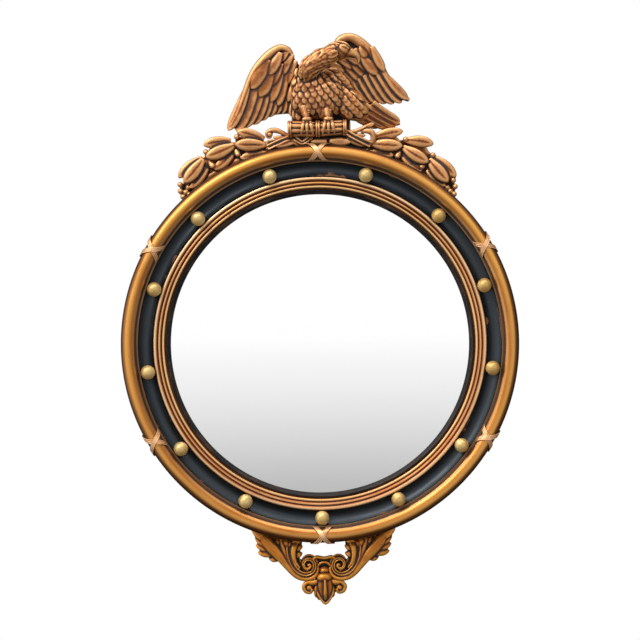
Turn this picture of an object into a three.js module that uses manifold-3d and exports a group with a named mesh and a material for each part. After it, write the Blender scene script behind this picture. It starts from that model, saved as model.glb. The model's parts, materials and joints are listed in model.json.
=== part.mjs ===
// Girandole mirror: a round convex glass in a gilt and ebonised ring, with an eagle crest and a leafy apron.
// Millimetres, +Z up. The wall is the plane Y = 0 and the mirror stands out from it towards -Y.
// The origin is the centre of the ring on the wall plane, which is the rear face of the backboard.
// Depths are measured from the wall, so a point at depth d lies at Y = -d.
import * as THREE from "three";
import { mergeVertices } from "three/addons/utils/BufferGeometryUtils.js";
import Module from "manifold-3d";

const wasm = await Module();
wasm.setup();

// ---------------------------------------------------------------- driving dimensions

const FACETS = 48; // sides of each turned ring
const GLUE = 0.3; // clearance left for glue between fixed pieces

// ring
const RING_R = 255; // outside of the gilt bead
const BEAD_R = 9.5; // radius of the gilt bead's own section
const RING_FRONT = 46; // depth of the bead's crown
const RING_SIDE_IN = 4; // how far the plain side lies inside the bead's crown
const FILLET_W = 3; // flat gilt step inside the bead
const FILLET_DEPTH = 33;
// ebonised cove
const COVE_W = 18; // radial width of the hollow
const COVE_DROP = 5.6; // how far its floor lies below the fillet
const COVE_LIP = 1; // how far the inner lip lies below the fillet
// reeded slip and black sight edge
const BIG_REED_R = 3.1;
const SMALL_REED_R = 2.3;
const REED_STEP = 2.2; // each reed stands this much lower than the one outside it
const SIGHT_W = 5; // radial width of the black edge
const SIGHT_LIP = 5; // how far the sight edge covers the rim of the glass
const SIGHT_DROP = 6.5; // fall of the black edge from its top to the glass
// glass and what holds it
const GLASS_T = 3;
const GLASS_RISE = 20; // how far the middle of the glass bulges forward
const GLASS_EDGE_DEPTH = 20; // front of the glass at its rim
const PACKING_W = 8;
const BOARD_T = 6; // backboard thickness, and so the depth of the ring's back
const BOARD_LAP = 9; // how far the backboard laps over the cove ring
const BOARD_SCREWS = 6;
// turned balls in the cove
const BALL_R = 9.2;
const BALL_COUNT = 13;
const BALL_FIRST = 26; // degrees from the lowest ball to its neighbours
const BALL_PITCH = 27.6; // degrees between the others
const BALL_DEPTH = 36.8; // depth of a ball's centre
const BALL_PEG_R = 2.6;
const BALL_PEG_L = 9; // peg length below the ball
// crossed ribbons on the bead
const CROSS_COUNT = 6;
const RIBBON_W = 5.5;
const RIBBON_T = 1.5;
const RIBBON_SPREAD = 23; // how far a band runs along the ring while it crosses the bead
// crest
const CREST_H = 142; // height of the crest above the ring
const CREST_BACK = 7; // depth of the flat back of all the carving
const CREST_GROUND = 6; // thickness of the flat ground behind the carving
const BASE_W = 132; // width of the crest base
const BASE_RISE = 8.5; // height of its top above the ring
const BASE_FRONT = 30;
const TONGUE_W = 76; // upright behind the perch and the legs
const TONGUE_RISE = 45; // height of its top above the ring
const PERCH_R = 11;
const PERCH_L = 76;
const PERCH_DEPTH = 33;
const PERCH_LEAN = 1.5; // degrees, higher on the viewer's right
// spray of laurel
const CLUSTER_PITCH = 8.5; // degrees
const LEAF_SWEEP = 7.7; // degrees covered by one leaf
const LEAF_W = 8; // half width, which sets the size of the whole spray
const LEAF_T = 4.5;
const BERRY_R = 2.8;
const SPRAY_GROUND = 23; // depth of the ground that the leaves grow from
// apron
const APRON_H = 82; // how far the apron hangs below the ring
const APRON_SHIFT = 2; // it hangs a little to the viewer's right
// dowels and hanging hardware
const DOWEL_R = 2.5;
const DOWEL_IN = 8; // length of a dowel inside the ring
const DOWEL_OUT = 6; // and inside the piece it holds
const CREST_DOWEL_DEPTH = 18;
const APRON_DOWEL_DEPTH = 12;
const HANGER_ANGLE = 75; // degrees from the top
const WIRE_R = 1.25; // D-ring wire
const D_W = 14; // inside width of the D
const D_H = 11; // inside height of the D
const STRAP_W = 9;
const STRAP_L = 17;
const STRAP_T = 0.9; // sheet thickness
const PIN_PLAY = 0.3; // play of the D-ring's bar in its knuckle
const STRAP_SCREW_AT = 7.5; // distance of the screw below the bar
const SCREW_R = 1.7;
const SCREW_HEAD_R = 3.4;
const BUMPER_R = 6;
const BUMPER_ANGLE = 150;

// ---------------------------------------------------------------- places worked out from them

const BEAD_C = RING_R - BEAD_R; // radius of the bead's centre line
const BEAD_DEPTH = RING_FRONT - BEAD_R;
const SIDE_R = RING_R - RING_SIDE_IN;
const FILLET_R = BEAD_C - BEAD_R;
const COVE_R = FILLET_R - FILLET_W; // outer edge of the cove ring
const COVE_IN = COVE_R - COVE_W; // inner edge of the cove ring
const COVE_MID = (COVE_R + COVE_IN) / 2 - 0.6; // radius on which the balls stand
const SLIP_R = COVE_IN - GLUE;
const SLIP_TOP = FILLET_DEPTH - COVE_LIP; // crown of the outermost reed
const SIGHT_R = SLIP_R - 2 * BIG_REED_R - 4 * SMALL_REED_R - 2; // outside of the black edge
const SIGHT_IN = SIGHT_R - SIGHT_W;
const GLASS_R = SIGHT_IN + SIGHT_LIP + 3;
const BOARD_R = COVE_IN + BOARD_LAP;
const BACK = BOARD_T + GLUE; // depth of the ring's back face
const GLASS_CURVE_R = (GLASS_R ** 2 + GLASS_RISE ** 2) / (2 * GLASS_RISE);
const SLIP_BACK = glassDepth(SIGHT_R) + GLUE;
const REBATE_R = GLASS_R + 0.8; // room round the glass

const rad = THREE.MathUtils.degToRad;

// A point given by its radius, its angle from the top (clockwise as seen from the front) and its depth.
function polar(r, degrees, depth) {
  const a = rad(degrees);
  return new THREE.Vector3(r * Math.sin(a), -depth, r * Math.cos(a));
}

// A point given as it is seen from the front, with its depth.
function at(x, z, depth) {
  return new THREE.Vector3(x, -depth, z);
}

// Depth of the domed front of the glass at a radius.
function glassDepth(r) {
  const drop = (radius) => Math.sqrt(GLASS_CURVE_R ** 2 - radius ** 2);
  return GLASS_EDGE_DEPTH + drop(r) - drop(GLASS_R);
}

function lerp(a, b, t) {
  return a + (b - a) * t;
}

// ---------------------------------------------------------------- making solids

function solid(geometry) {
  const bare = geometry.clone();
  bare.deleteAttribute("normal");
  bare.deleteAttribute("uv");
  const merged = mergeVertices(bare, 1e-3);
  const vertProperties = new Float32Array(merged.attributes.position.array);
  const triVerts = new Uint32Array(merged.index.array);
  return new wasm.Manifold(new wasm.Mesh({ numProp: 3, vertProperties, triVerts }));
}

function geometryOf(manifold) {
  const mesh = manifold.getMesh();
  const geometry = new THREE.BufferGeometry();
  geometry.setAttribute("position", new THREE.BufferAttribute(mesh.vertProperties, 3));
  geometry.setIndex(new THREE.BufferAttribute(mesh.triVerts, 1));
  const faceted = geometry.toNonIndexed();
  faceted.computeVertexNormals();
  return faceted;
}

function join(manifolds) {
  return manifolds.reduce((all, one) => all.add(one));
}

function cut(from, tools) {
  return tools.reduce((left, tool) => left.subtract(tool), from);
}

// A turned piece: a closed outline of [radius, depth] points revolved about Y. An outline that
// starts and ends on the axis is closed there, and any other is closed from its last point to its first.
function turned(outline, sides = FACETS, middle = new THREE.Vector3()) {
  const points = outline.map(([r, depth]) => new THREE.Vector2(r, -depth));
  const onAxis = points[0].x === 0;
  if (THREE.ShapeUtils.area(points) < 0) points.reverse();
  if (!onAxis) points.push(points[0].clone());
  return solid(new THREE.LatheGeometry(points, sides).translate(middle.x, middle.y, middle.z));
}

// Points on an arc of [radius, depth], from one angle to another (0 outwards, 90 forwards).
function arc(r, depth, radius, from, to, steps) {
  return Array.from({ length: steps + 1 }, (_, i) => {
    const a = rad(lerp(from, to, i / steps));
    return [r + radius * Math.cos(a), depth + radius * Math.sin(a)];
  });
}

// A closed skin over rings of points, each ring as long as the next, with a fan over each end.
function skin(rings, closed = false) {
  const count = rings[0].length;
  const vertices = rings.flat();
  const faces = [];
  const last = closed ? rings.length : rings.length - 1;
  for (let i = 0; i < last; i++) {
    const near = i * count;
    const far = ((i + 1) % rings.length) * count;
    for (let j = 0; j < count; j++) {
      const next = (j + 1) % count;
      faces.push([near + j, far + j, far + next], [near + j, far + next, near + next]);
    }
  }
  if (!closed) {
    for (const [ring, start] of [[rings[0], 0], [rings.at(-1), vertices.length - count]]) {
      const middle = ring.reduce((sum, p) => sum.add(p), new THREE.Vector3()).divideScalar(count);
      const centre = vertices.push(middle) - 1;
      for (let j = 0; j < count; j++) {
        const next = (j + 1) % count;
        faces.push(start === 0 ? [centre, start + j, start + next] : [centre, start + next, start + j]);
      }
    }
  }
  const volume = faces.reduce((sum, [a, b, c]) => {
    return sum + vertices[a].dot(new THREE.Vector3().crossVectors(vertices[b], vertices[c]));
  }, 0);
  if (volume < 0) faces.forEach((face) => face.reverse());
  const geometry = new THREE.BufferGeometry().setFromPoints(vertices);
  geometry.setIndex(faces.flat());
  return solid(geometry);
}

// A section carried along a curve. section(u) lists [side, lift] pairs: side runs across the curve in
// the plane of the wall and lift towards the viewer, or along up(u) where the piece turns over.
function swept(curve, steps, section, up = () => new THREE.Vector3(0, -1, 0)) {
  const rings = [];
  for (let i = 0; i <= steps; i++) {
    const u = i / steps;
    const centre = curve.getPoint(u);
    const along = curve.getTangent(u);
    const lift = up(u).clone();
    const side = new THREE.Vector3().crossVectors(lift, along).normalize();
    lift.crossVectors(along, side).normalize();
    rings.push(section(u).map(([s, l]) => {
      return centre.clone().addScaledVector(side, s).addScaledVector(lift, l);
    }));
  }
  return skin(rings);
}

function spline(points) {
  return new THREE.CatmullRomCurve3(points, false, "centripetal");
}

// A regular polygon as [side, lift] pairs, for round sections.
function round(radius, sides, squash = 1) {
  return Array.from({ length: sides }, (_, i) => {
    const a = ((i + 0.5) / sides) * 2 * Math.PI;
    return [radius * Math.cos(a), radius * squash * Math.sin(a)];
  });
}

// A radius that swells from its start to a broadest place and falls away to its end.
function taper(u, start, middle, end, peak = 0.5) {
  const t = u < peak ? u / peak : (1 - u) / (1 - peak);
  const edge = u < peak ? start : end;
  return edge + (middle - edge) * Math.sin((t * Math.PI) / 2);
}

// One carved feather or leaf from its foot to its tip, with a crowned face and a raised midrib.
function blade({ foot, tip, width, relief, bow = 0, peak = 0.6, foots = 0.55, keel = 1 }) {
  const middle = foot.clone().lerp(tip, 0.5);
  const along = tip.clone().sub(foot);
  const across = new THREE.Vector3(0, -1, 0).cross(along).normalize();
  middle.addScaledVector(across, bow);
  const curve = new THREE.QuadraticBezierCurve3(foot, middle, tip);
  return swept(curve, 4, (u) => {
    const w = taper(u, width * foots, width, width * 0.16, peak);
    const h = taper(u, relief * 0.8, relief, relief * 0.35, 0.45);
    return [[-w, -h * 0.3], [-w * 0.45, h * 0.85], [w * 0.45, h * 0.85], [w, -h * 0.3], [0, -h * keel]];
  });
}

// A plain cylinder from one point to another.
function rod(from, to, radius, sides = 8) {
  const along = to.clone().sub(from);
  const geometry = new THREE.CylinderGeometry(radius, radius, along.length(), sides);
  const turn = new THREE.Quaternion().setFromUnitVectors(new THREE.Vector3(0, 1, 0), along.normalize());
  geometry.applyQuaternion(turn);
  const middle = from.clone().lerp(to, 0.5);
  geometry.translate(middle.x, middle.y, middle.z);
  return solid(geometry);
}

function ball(centre, radius, sides = 8) {
  const geometry = new THREE.SphereGeometry(radius, sides, Math.max(4, sides - 3));
  geometry.translate(centre.x, centre.y, centre.z);
  return solid(geometry);
}

// ---------------------------------------------------------------- materials

function finish(color, roughness, metalness) {
  return new THREE.MeshStandardMaterial({ color, roughness, metalness });
}

const gilt = finish(0xc08a3e, 0.38, 0.75);
const antiqueGilt = finish(0x9a6a38, 0.45, 0.6);
const paleGilt = finish(0xd2b069, 0.4, 0.6);
const ebonised = finish(0x0d0e10, 0.25, 0);
const mirrorGlass = finish(0xe8ecee, 0.03, 1);
const board = finish(0x8a6a44, 0.85, 0);
const steel = finish(0xa9a9a6, 0.35, 1);
const brass = finish(0xb08d4a, 0.35, 1);
const beech = finish(0xc7a574, 0.8, 0);
const felt = finish(0x3a3a38, 0.95, 0);

const mirror = new THREE.Group();

function addPiece(name, manifold, material) {
  const mesh = new THREE.Mesh(geometryOf(manifold), material);
  mesh.name = name;
  mirror.add(mesh);
}

// ---------------------------------------------------------------- the ring

// Angle on the bead's section at which it runs down onto the fillet.
const beadFoot = 180 + THREE.MathUtils.radToDeg(Math.asin((BEAD_DEPTH - FILLET_DEPTH) / BEAD_R));
// Angle at which it meets the plain side.
const beadSide = -THREE.MathUtils.radToDeg(Math.acos((SIDE_R - BEAD_C) / BEAD_R));

const outerRing = turned([
  [COVE_R + GLUE, BACK],
  [SIDE_R, BACK],
  ...arc(BEAD_C, BEAD_DEPTH, BEAD_R, beadSide, beadFoot, 8),
  [COVE_R + GLUE, FILLET_DEPTH],
]);

// The bead and the ribbons are both faceted, so the bands stand clear by the depth of a facet as well.
const RIBBON_ROOM = 1.5 * GLUE + RING_R * (1 - Math.cos(Math.PI / FACETS));

// Everything outside the ring is carved to sit on this shape: the plain side with room for glue, and the
// bead with room for the ribbons that cross it.
const crossRoom = BEAD_R + RIBBON_ROOM + RIBBON_T + 3 * GLUE;
const ringRoom = turned([
  [0, -1],
  [SIDE_R + GLUE, -1],
  ...arc(BEAD_C, BEAD_DEPTH, crossRoom, -Math.acos((SIDE_R + GLUE - BEAD_C) / crossRoom) * (180 / Math.PI), 90, 8),
  [0, BEAD_DEPTH + crossRoom],
]);

// The cove is hollowed with a broad arc that runs from the fillet down to the floor and up to the lip.
const coveHollow = Array.from({ length: 6 }, (_, i) => {
  const t = i / 5;
  const lip = lerp(FILLET_DEPTH, FILLET_DEPTH - COVE_LIP, t);
  return [lerp(COVE_R, COVE_IN, t), lip - COVE_DROP * Math.sin(Math.PI * t) ** 0.8];
});

const ballAngles = [180];
for (let i = 0; i < (BALL_COUNT - 1) / 2; i++) {
  const angle = 180 - BALL_FIRST - i * BALL_PITCH;
  ballAngles.push(angle, -angle);
}

const coveRing = cut(
  turned([
    [REBATE_R, BACK],
    [COVE_R, BACK],
    ...coveHollow,
    [COVE_IN, SLIP_BACK - GLUE],
    [REBATE_R, SLIP_BACK - GLUE],
  ]),
  ballAngles.map((a) => {
    const foot = BALL_DEPTH - BALL_R - BALL_PEG_L - 1;
    return rod(polar(COVE_MID, a, foot), polar(COVE_MID, a, BALL_DEPTH), BALL_PEG_R + GLUE);
  }),
);

const reedCentre = (i) => {
  return i === 0 ? SLIP_R - BIG_REED_R : SLIP_R - 2 * BIG_REED_R - (2 * i - 1) * SMALL_REED_R;
};
const reededSlip = turned([
  [SIGHT_R + GLUE, SLIP_BACK],
  [SLIP_R, SLIP_BACK],
  ...arc(reedCentre(0), SLIP_TOP - BIG_REED_R, BIG_REED_R, 0, 170, 4),
  ...arc(reedCentre(1), SLIP_TOP - REED_STEP - SMALL_REED_R, SMALL_REED_R, 20, 160, 2),
  ...arc(reedCentre(2), SLIP_TOP - 2 * REED_STEP - SMALL_REED_R, SMALL_REED_R, 20, 170, 2),
  [SIGHT_R + GLUE, SLIP_TOP - 2 * REED_STEP - SMALL_REED_R - 1],
]);

const sightSlip = turned([
  [SIGHT_IN, glassDepth(SIGHT_IN) + GLUE],
  [SIGHT_R, glassDepth(SIGHT_R) + GLUE],
  [SIGHT_R, glassDepth(SIGHT_R) + SIGHT_DROP],
  [SIGHT_R - 1.5, glassDepth(SIGHT_R) + SIGHT_DROP],
  [SIGHT_IN + 1.2, glassDepth(SIGHT_IN) + 2.2],
  [SIGHT_IN, glassDepth(SIGHT_IN) + 1.4],
]);

const glassSteps = [0, 0.4, 0.72, 1].map((t) => t * GLASS_R);
const convexGlass = turned([
  ...glassSteps.map((r) => [r, glassDepth(r)]),
  ...glassSteps.reverse().map((r) => [r, glassDepth(r) - GLASS_T]),
]);

const packingTop = glassDepth(GLASS_R) - GLASS_T - GLUE;
const packing = turned([
  [GLASS_R - PACKING_W, BACK],
  [GLASS_R, BACK],
  [GLASS_R, packingTop],
  [GLASS_R - PACKING_W, packingTop],
]);

// A countersunk wood screw whose head finishes a hair below the face it is driven through.
function screw(headDepth, length, r, angle) {
  const outline = [
    [0, headDepth],
    [SCREW_HEAD_R, headDepth],
    [SCREW_R, headDepth + 2],
    [SCREW_R * 0.9, headDepth + length - 3],
    [0, headDepth + length],
  ];
  return turned(outline, 8, polar(r, angle, 0));
}

// The hole for that screw, from the face it enters down to its point.
function screwRoom(headDepth, length, r, angle) {
  const outline = [
    [0, headDepth - 1],
    [SCREW_HEAD_R + GLUE, headDepth - 1],
    [SCREW_HEAD_R + GLUE, headDepth],
    [SCREW_R + GLUE, headDepth + 2],
    [SCREW_R + GLUE, headDepth + length + GLUE],
    [0, headDepth + length + GLUE],
  ];
  return turned(outline, 8, polar(r, angle, 0));
}

const boardScrewAngles = Array.from({ length: BOARD_SCREWS }, (_, i) => (i + 0.5) * (360 / BOARD_SCREWS));
const BOARD_SCREW_R = (COVE_IN + BOARD_R) / 2 - 1;
const BOARD_SCREW_L = 17;
const SCREW_SINK = 0.3; // the heads finish this far below the board's face
const boardScrewPlace = (angle) => [SCREW_SINK, BOARD_SCREW_L, BOARD_SCREW_R, angle];

const backboard = cut(
  turned([[0, 0], [BOARD_R, 0], [BOARD_R, BOARD_T], [0, BOARD_T]]),
  boardScrewAngles.map((angle) => screwRoom(...boardScrewPlace(angle))),
);
const coveRingDrilled = cut(
  coveRing,
  boardScrewAngles.map((angle) => screwRoom(...boardScrewPlace(angle))),
);

// ---------------------------------------------------------------- balls and crossed ribbons

function coveBall(angle) {
  const outline = [
    [0, BALL_DEPTH - BALL_R - BALL_PEG_L],
    [BALL_PEG_R, BALL_DEPTH - BALL_R - BALL_PEG_L],
    ...arc(0, BALL_DEPTH, BALL_R, -73, 90, 6).slice(0, -1),
    [0, BALL_DEPTH + BALL_R],
  ];
  return turned(outline, 10, polar(COVE_MID, angle, 0));
}

// Two bands that cross on the crown of the bead.
function ribbonCross(angle) {
  const band = (lean) => {
    const steps = 9;
    const reach = BEAD_R + RIBBON_ROOM + RIBBON_T / 2;
    const spread = THREE.MathUtils.radToDeg(RIBBON_SPREAD / BEAD_C);
    const outward = (u) => rad(lerp(-16, 184, u));
    const shifted = (u) => angle + lean * (u - 0.5) * spread;
    const place = (u) => polar(
      BEAD_C + reach * Math.cos(outward(u)),
      shifted(u),
      BEAD_DEPTH + reach * Math.sin(outward(u)),
    );
    const curve = new THREE.CatmullRomCurve3(Array.from({ length: steps + 1 }, (_, i) => place(i / steps)));
    const lift = (u) => polar(Math.cos(outward(u)), shifted(u), Math.sin(outward(u)));
    const w = RIBBON_W / 2;
    const t = RIBBON_T / 2;
    return swept(curve, steps, () => [[-w, -t], [w, -t], [w, t], [-w, t]], lift);
  };
  return join([band(1), band(-1)]);
}

// ---------------------------------------------------------------- carving

// Flat carved ground from its outline [x, z] seen from the front.
function ground(points, back, front) {
  const shape = new THREE.Shape(points.map(([x, z]) => new THREE.Vector2(x, z)));
  const geometry = new THREE.ExtrudeGeometry(shape, { depth: front - back, bevelEnabled: false });
  geometry.rotateX(Math.PI / 2).translate(0, -back, 0);
  return solid(geometry);
}

// Carving is drawn as if on a flat board: x from the middle, rise away from the ring, and lift forward
// from the board. A drawing turns such figures into places on the mirror and scales every length in them.
function drawing(scale, sign, shift) {
  const place = ([x, rise, lift = 0]) => {
    return [shift + x * scale, sign * (RING_R + rise * scale), CREST_BACK + lift * scale];
  };
  const line = (...points) => spline(points.map((point) => at(...place(point))));
  return {
    scale,
    line,
    plate: (points, thick, room = 0) => {
      return ground(points.map(place), CREST_BACK - room, CREST_BACK + thick + room);
    },
    sweep: (points, steps, section) => swept(line(...points), steps, section),
    leaf: (foot, tip, width, relief, more = {}) => blade({
      foot: at(...place(foot)),
      tip: at(...place(tip)),
      ...more,
      width: width * scale,
      relief: relief * scale,
      bow: (more.bow ?? 0) * scale,
    }),
    // Leaves side by side, with feet and tips spread along two curves.
    row: (feet, tips, count, [first, last], relief, bow = 0) => Array.from({ length: count }, (_, i) => {
      const t = i / (count - 1);
      return blade({
        foot: line(...feet).getPoint(t),
        tip: line(...tips).getPoint(t),
        width: lerp(first, last, t) * scale,
        relief: relief * scale,
        bow: bow * scale,
        peak: 0.68,
        keel: 2,
      });
    }),
    lump: (centre, [rx, rz, ry], lean = 0, room = 0, sides = 12) => {
      const [x, z, depth] = place(centre);
      const geometry = new THREE.SphereGeometry(1, sides, Math.round(sides * 0.7));
      geometry.scale(rx * scale + room, ry * scale + room, rz * scale + room);
      geometry.rotateY(-rad(lean)).translate(x, -depth, z);
      return solid(geometry);
    },
  };
}

// ---------------------------------------------------------------- crest

const crest = drawing(CREST_H / 142, 1, 0);
const CREST_FRONT = CREST_BACK + CREST_GROUND; // front of the flat ground
const BASE_TOP = RING_R + BASE_RISE;
const TONGUE_TOP = RING_R + TONGUE_RISE;
const PERCH_Z = BASE_TOP + PERCH_R;

// The block under the crest; room swells it to cut what stands against it.
function baseBlock(room = 0) {
  const half = BASE_W / 2 + room;
  const top = BASE_TOP + room;
  const shoulder = BASE_RISE * 0.7;
  const outline = [
    [-half, RING_R * 0.92],
    [half, RING_R * 0.92],
    [half, top - shoulder],
    [half * 0.66, top],
    [-half * 0.66, top],
    [-half, top - shoulder],
  ];
  return ground(outline, CREST_BACK - room, BASE_FRONT + room);
}

// The upright that backs the legs and the foot of the wings.
function tongue(room = 0) {
  const half = TONGUE_W / 2 + room;
  const outline = [
    [5 - half, RING_R],
    [5 + half, RING_R],
    [half - 1, TONGUE_TOP + room],
    [8 - half, TONGUE_TOP + room],
  ];
  return ground(outline, CREST_BACK - room, CREST_FRONT + room);
}

const baseLeaf = (foot, tip) => blade({
  foot: at(foot[0], RING_R + foot[1], BASE_FRONT),
  tip: at(tip[0], RING_R + tip[1], BASE_FRONT),
  width: BASE_RISE * 0.45,
  relief: BASE_RISE * 0.45,
});
const crestBase = cut(
  join([
    baseBlock(),
    tongue(),
    ...[-1, 1].flatMap((side) => [
      baseLeaf([side * 4, 1.5], [side * BASE_W * 0.23, 2]),
      baseLeaf([side * BASE_W * 0.45, -3], [side * BASE_W * 0.25, 5]),
    ]),
  ]),
  [ringRoom],
);

// The bundle that the eagle grips swells and narrows between its bands.
const perchRise = (PERCH_L / 2) * Math.sin(rad(PERCH_LEAN));
const perchLine = spline([
  at(-PERCH_L / 2, PERCH_Z - perchRise, PERCH_DEPTH),
  at(PERCH_L / 2, PERCH_Z + perchRise, PERCH_DEPTH),
]);
const perchSolid = (room = 0) => swept(perchLine, 8, (u) => {
  return round(PERCH_R * (1 - 0.1 * Math.abs(Math.sin(u * Math.PI * 4))) + room, 10);
});
const perch = cut(perchSolid(), [baseBlock(GLUE)]);

// The bird without its wings: breast, flank, neck and head. room swells it to cut what sits against it.
function bird(room = 0) {
  const k = crest.scale;
  const body = join([
    crest.lump([1, 60, 21], [36, 29, 17], 0, room),
    crest.lump([36, 54, 17], [34, 19, 11], -32, room),
    crest.sweep([[-14, 67, 27], [-9, 88, 32], [8, 107, 34], [32, 119, 33]], 6, (u) => {
      return round(taper(u, 11, 15.5, 9, 0.4) * k + room, 10, 0.85);
    }),
    crest.lump([36, 120, 35], [11.5, 10, 9.5], 0, room, 10),
    crest.sweep([[40, 118, 36], [48, 115, 37], [54, 110.5, 37], [52.5, 103.5, 36.5]], 6, (u) => {
      return round(lerp(7.5, 1, u ** 0.8) * k + room, 8);
    }),
  ]);
  const reach = RING_R + CREST_H;
  const back = CREST_FRONT + GLUE - room;
  const behind = [[-reach, 0], [reach, 0], [reach, reach * 2], [-reach, reach * 2]];
  return cut(body, [ground(behind, back - reach, back)]);
}
const birdRoom = bird(GLUE);
const eagleBody = cut(bird(), [perchSolid(GLUE), baseBlock(GLUE)]);

// The thick rolled front edge of a wing, from its root over the wrist to its tip.
function wingEdge(points, thick) {
  return crest.sweep(points, 10, (u) => {
    return round(taper(u, thick * 0.75, thick, thick * 0.4, 0.35) * crest.scale, 8);
  });
}

const wingLeft = cut(
  join([
    crest.plate(
      [[-3, 41], [-3, 91], [-24, 95], [-30, 109], [-34, 120], [-44, 125], [-57, 120], [-71, 106],
        [-84, 87], [-95, 63], [-108, 38], [-113, 25], [-96, 29], [-74, 36], [-52, 41], [-38, 45.5]],
      CREST_GROUND,
    ),
    wingEdge(
      [[-30, 101, 8], [-34, 116, 12], [-44, 124, 13], [-56, 118.5, 13], [-71, 104, 12], [-84, 85, 11],
        [-95, 61, 10], [-107, 38, 9], [-115.5, 23.5, 7]],
      6.5,
    ),
    ...crest.row(
      [[-80, 73, 8], [-62, 75, 9], [-38, 67, 10]],
      [[-106, 20, 7], [-82, 29.5, 8], [-57, 36, 9], [-41, 40.5, 10]],
      6, [6, 6], 4.5, 3,
    ),
    ...crest.row(
      [[-60, 103, 10], [-48, 93, 12], [-36, 87, 13]],
      [[-81, 73, 10], [-68, 64, 12], [-52, 57, 13]],
      3, [7.5, 7], 5, 2,
    ),
    ...crest.row([[-44, 115, 10], [-30, 107, 11]], [[-59, 89, 11], [-38, 79, 12]], 2, [6.5, 6.5], 5),
  ]),
  [birdRoom, tongue(GLUE)],
);

const wingRight = cut(
  join([
    crest.plate(
      [[-2.6, 41], [-2.6, 91], [14, 107], [26, 129], [36, 137], [48, 136], [62, 125], [76, 108],
        [90, 83], [104, 64], [117, 56.5], [96, 54], [76, 54], [58, 45.5]],
      CREST_GROUND,
    ),
    wingEdge(
      [[24, 125, 9], [32, 134, 12], [43, 136.5, 13], [55, 131, 13], [67, 119, 12], [77, 105, 11],
        [89, 84, 10], [103, 66.5, 9], [118, 57.5, 7]],
      6.2,
    ),
    ...crest.row(
      [[84, 87, 8], [72, 85, 9], [60, 77, 10]],
      [[113, 53.5, 7], [96, 54.5, 8], [80, 54, 9]],
      4, [5.5, 6], 4.5, -2,
    ),
    ...crest.row(
      [[73, 118, 10], [59, 113, 11], [48, 101, 12]],
      [[84, 89, 10], [74, 87, 11], [66, 79, 12]],
      3, [5, 7], 5,
    ),
    crest.leaf([60, 129, 11], [62, 107, 11], 6, 4.5),
  ]),
  [birdRoom, tongue(GLUE)],
);

const eagleTail = cut(
  join([
    crest.plate([[47, 42.5], [78, 45], [104, 28], [86, 24], [60, 28], [44, 35]], CREST_GROUND),
    ...crest.row(
      [[66, 48, 11], [54, 41, 13], [46, 37, 12]],
      [[108, 29, 7], [98, 23, 8], [84, 22, 9], [70, 26, 9]],
      5, [5.5, 5], 4.5, -3,
    ),
  ]),
  [birdRoom, tongue(GLUE)],
);

function leg(x, hip, lean) {
  const k = crest.scale;
  const top = at((x - lean) * k, RING_R + hip * k, PERCH_DEPTH + 2);
  const ankle = at(x * k + 1, PERCH_Z + PERCH_R, PERCH_DEPTH + 5);
  const knee = top.clone().lerp(ankle, 0.6).add(new THREE.Vector3(lean * 0.4, -1, 0));
  const shank = swept(spline([top, knee, ankle]), 4, (u) => round(lerp(6.5, 3.6, u) * k, 8));
  const claws = [-5.5, 0, 5.5].map((spread) => {
    const reach = PERCH_R + 2.2;
    const points = [75, 40, 5, -32].map((a, i) => at(
      x * k + 1 + spread * (0.4 + 0.25 * i),
      PERCH_Z + reach * Math.sin(rad(a)),
      PERCH_DEPTH + reach * Math.cos(rad(a)),
    ));
    return swept(spline(points), 4, (u) => round(lerp(2.9, 0.9, u ** 1.5), 6));
  });
  return cut(join([shank, ...claws]), [birdRoom, perchSolid(GLUE)]);
}

// A curling end of ribbon that lies on the base beside the perch. Its points are [along, rise], where
// along runs from 0 at the end of the perch to 1 at the end of the base.
function ribbonTail(side, curl) {
  const points = curl.map(([along, rise]) => at(
    side * lerp(PERCH_L / 2, BASE_W / 2, along),
    BASE_TOP + rise,
    BASE_FRONT - 3,
  ));
  const band = swept(spline(points), 8, (u) => round(taper(u, 2.6, 4.2, 3.2, 0.7), 6));
  return cut(band, [perchSolid(GLUE), baseBlock(GLUE)]);
}
const CURL_LEFT = [[0.03, 4.6], [0.5, 8.2], [0.86, 5.6], [0.79, 1.4]];
const CURL_RIGHT = [[0.03, 6.4], [0.5, 3.8], [0.98, 6.4], [1.06, 0.6]];

// ---------------------------------------------------------------- laurel

// Each cluster is drawn for leaves 8 wide on each side of the rib: how far outside the ring its leaves
// start, then where the tips of the middle, upper and lower leaf and the foot of the upper leaf lie.
const CLUSTERS = [
  { foot: 9.5, middle: 22, upper: 36, lower: 4.5, upperFoot: 17 },
  { foot: 20.5, middle: 21, upper: 38, lower: 5, upperFoot: 29 },
  { foot: 22, middle: 12.5, upper: 21.5, lower: 3.5, upperFoot: 25.5 },
];

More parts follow.
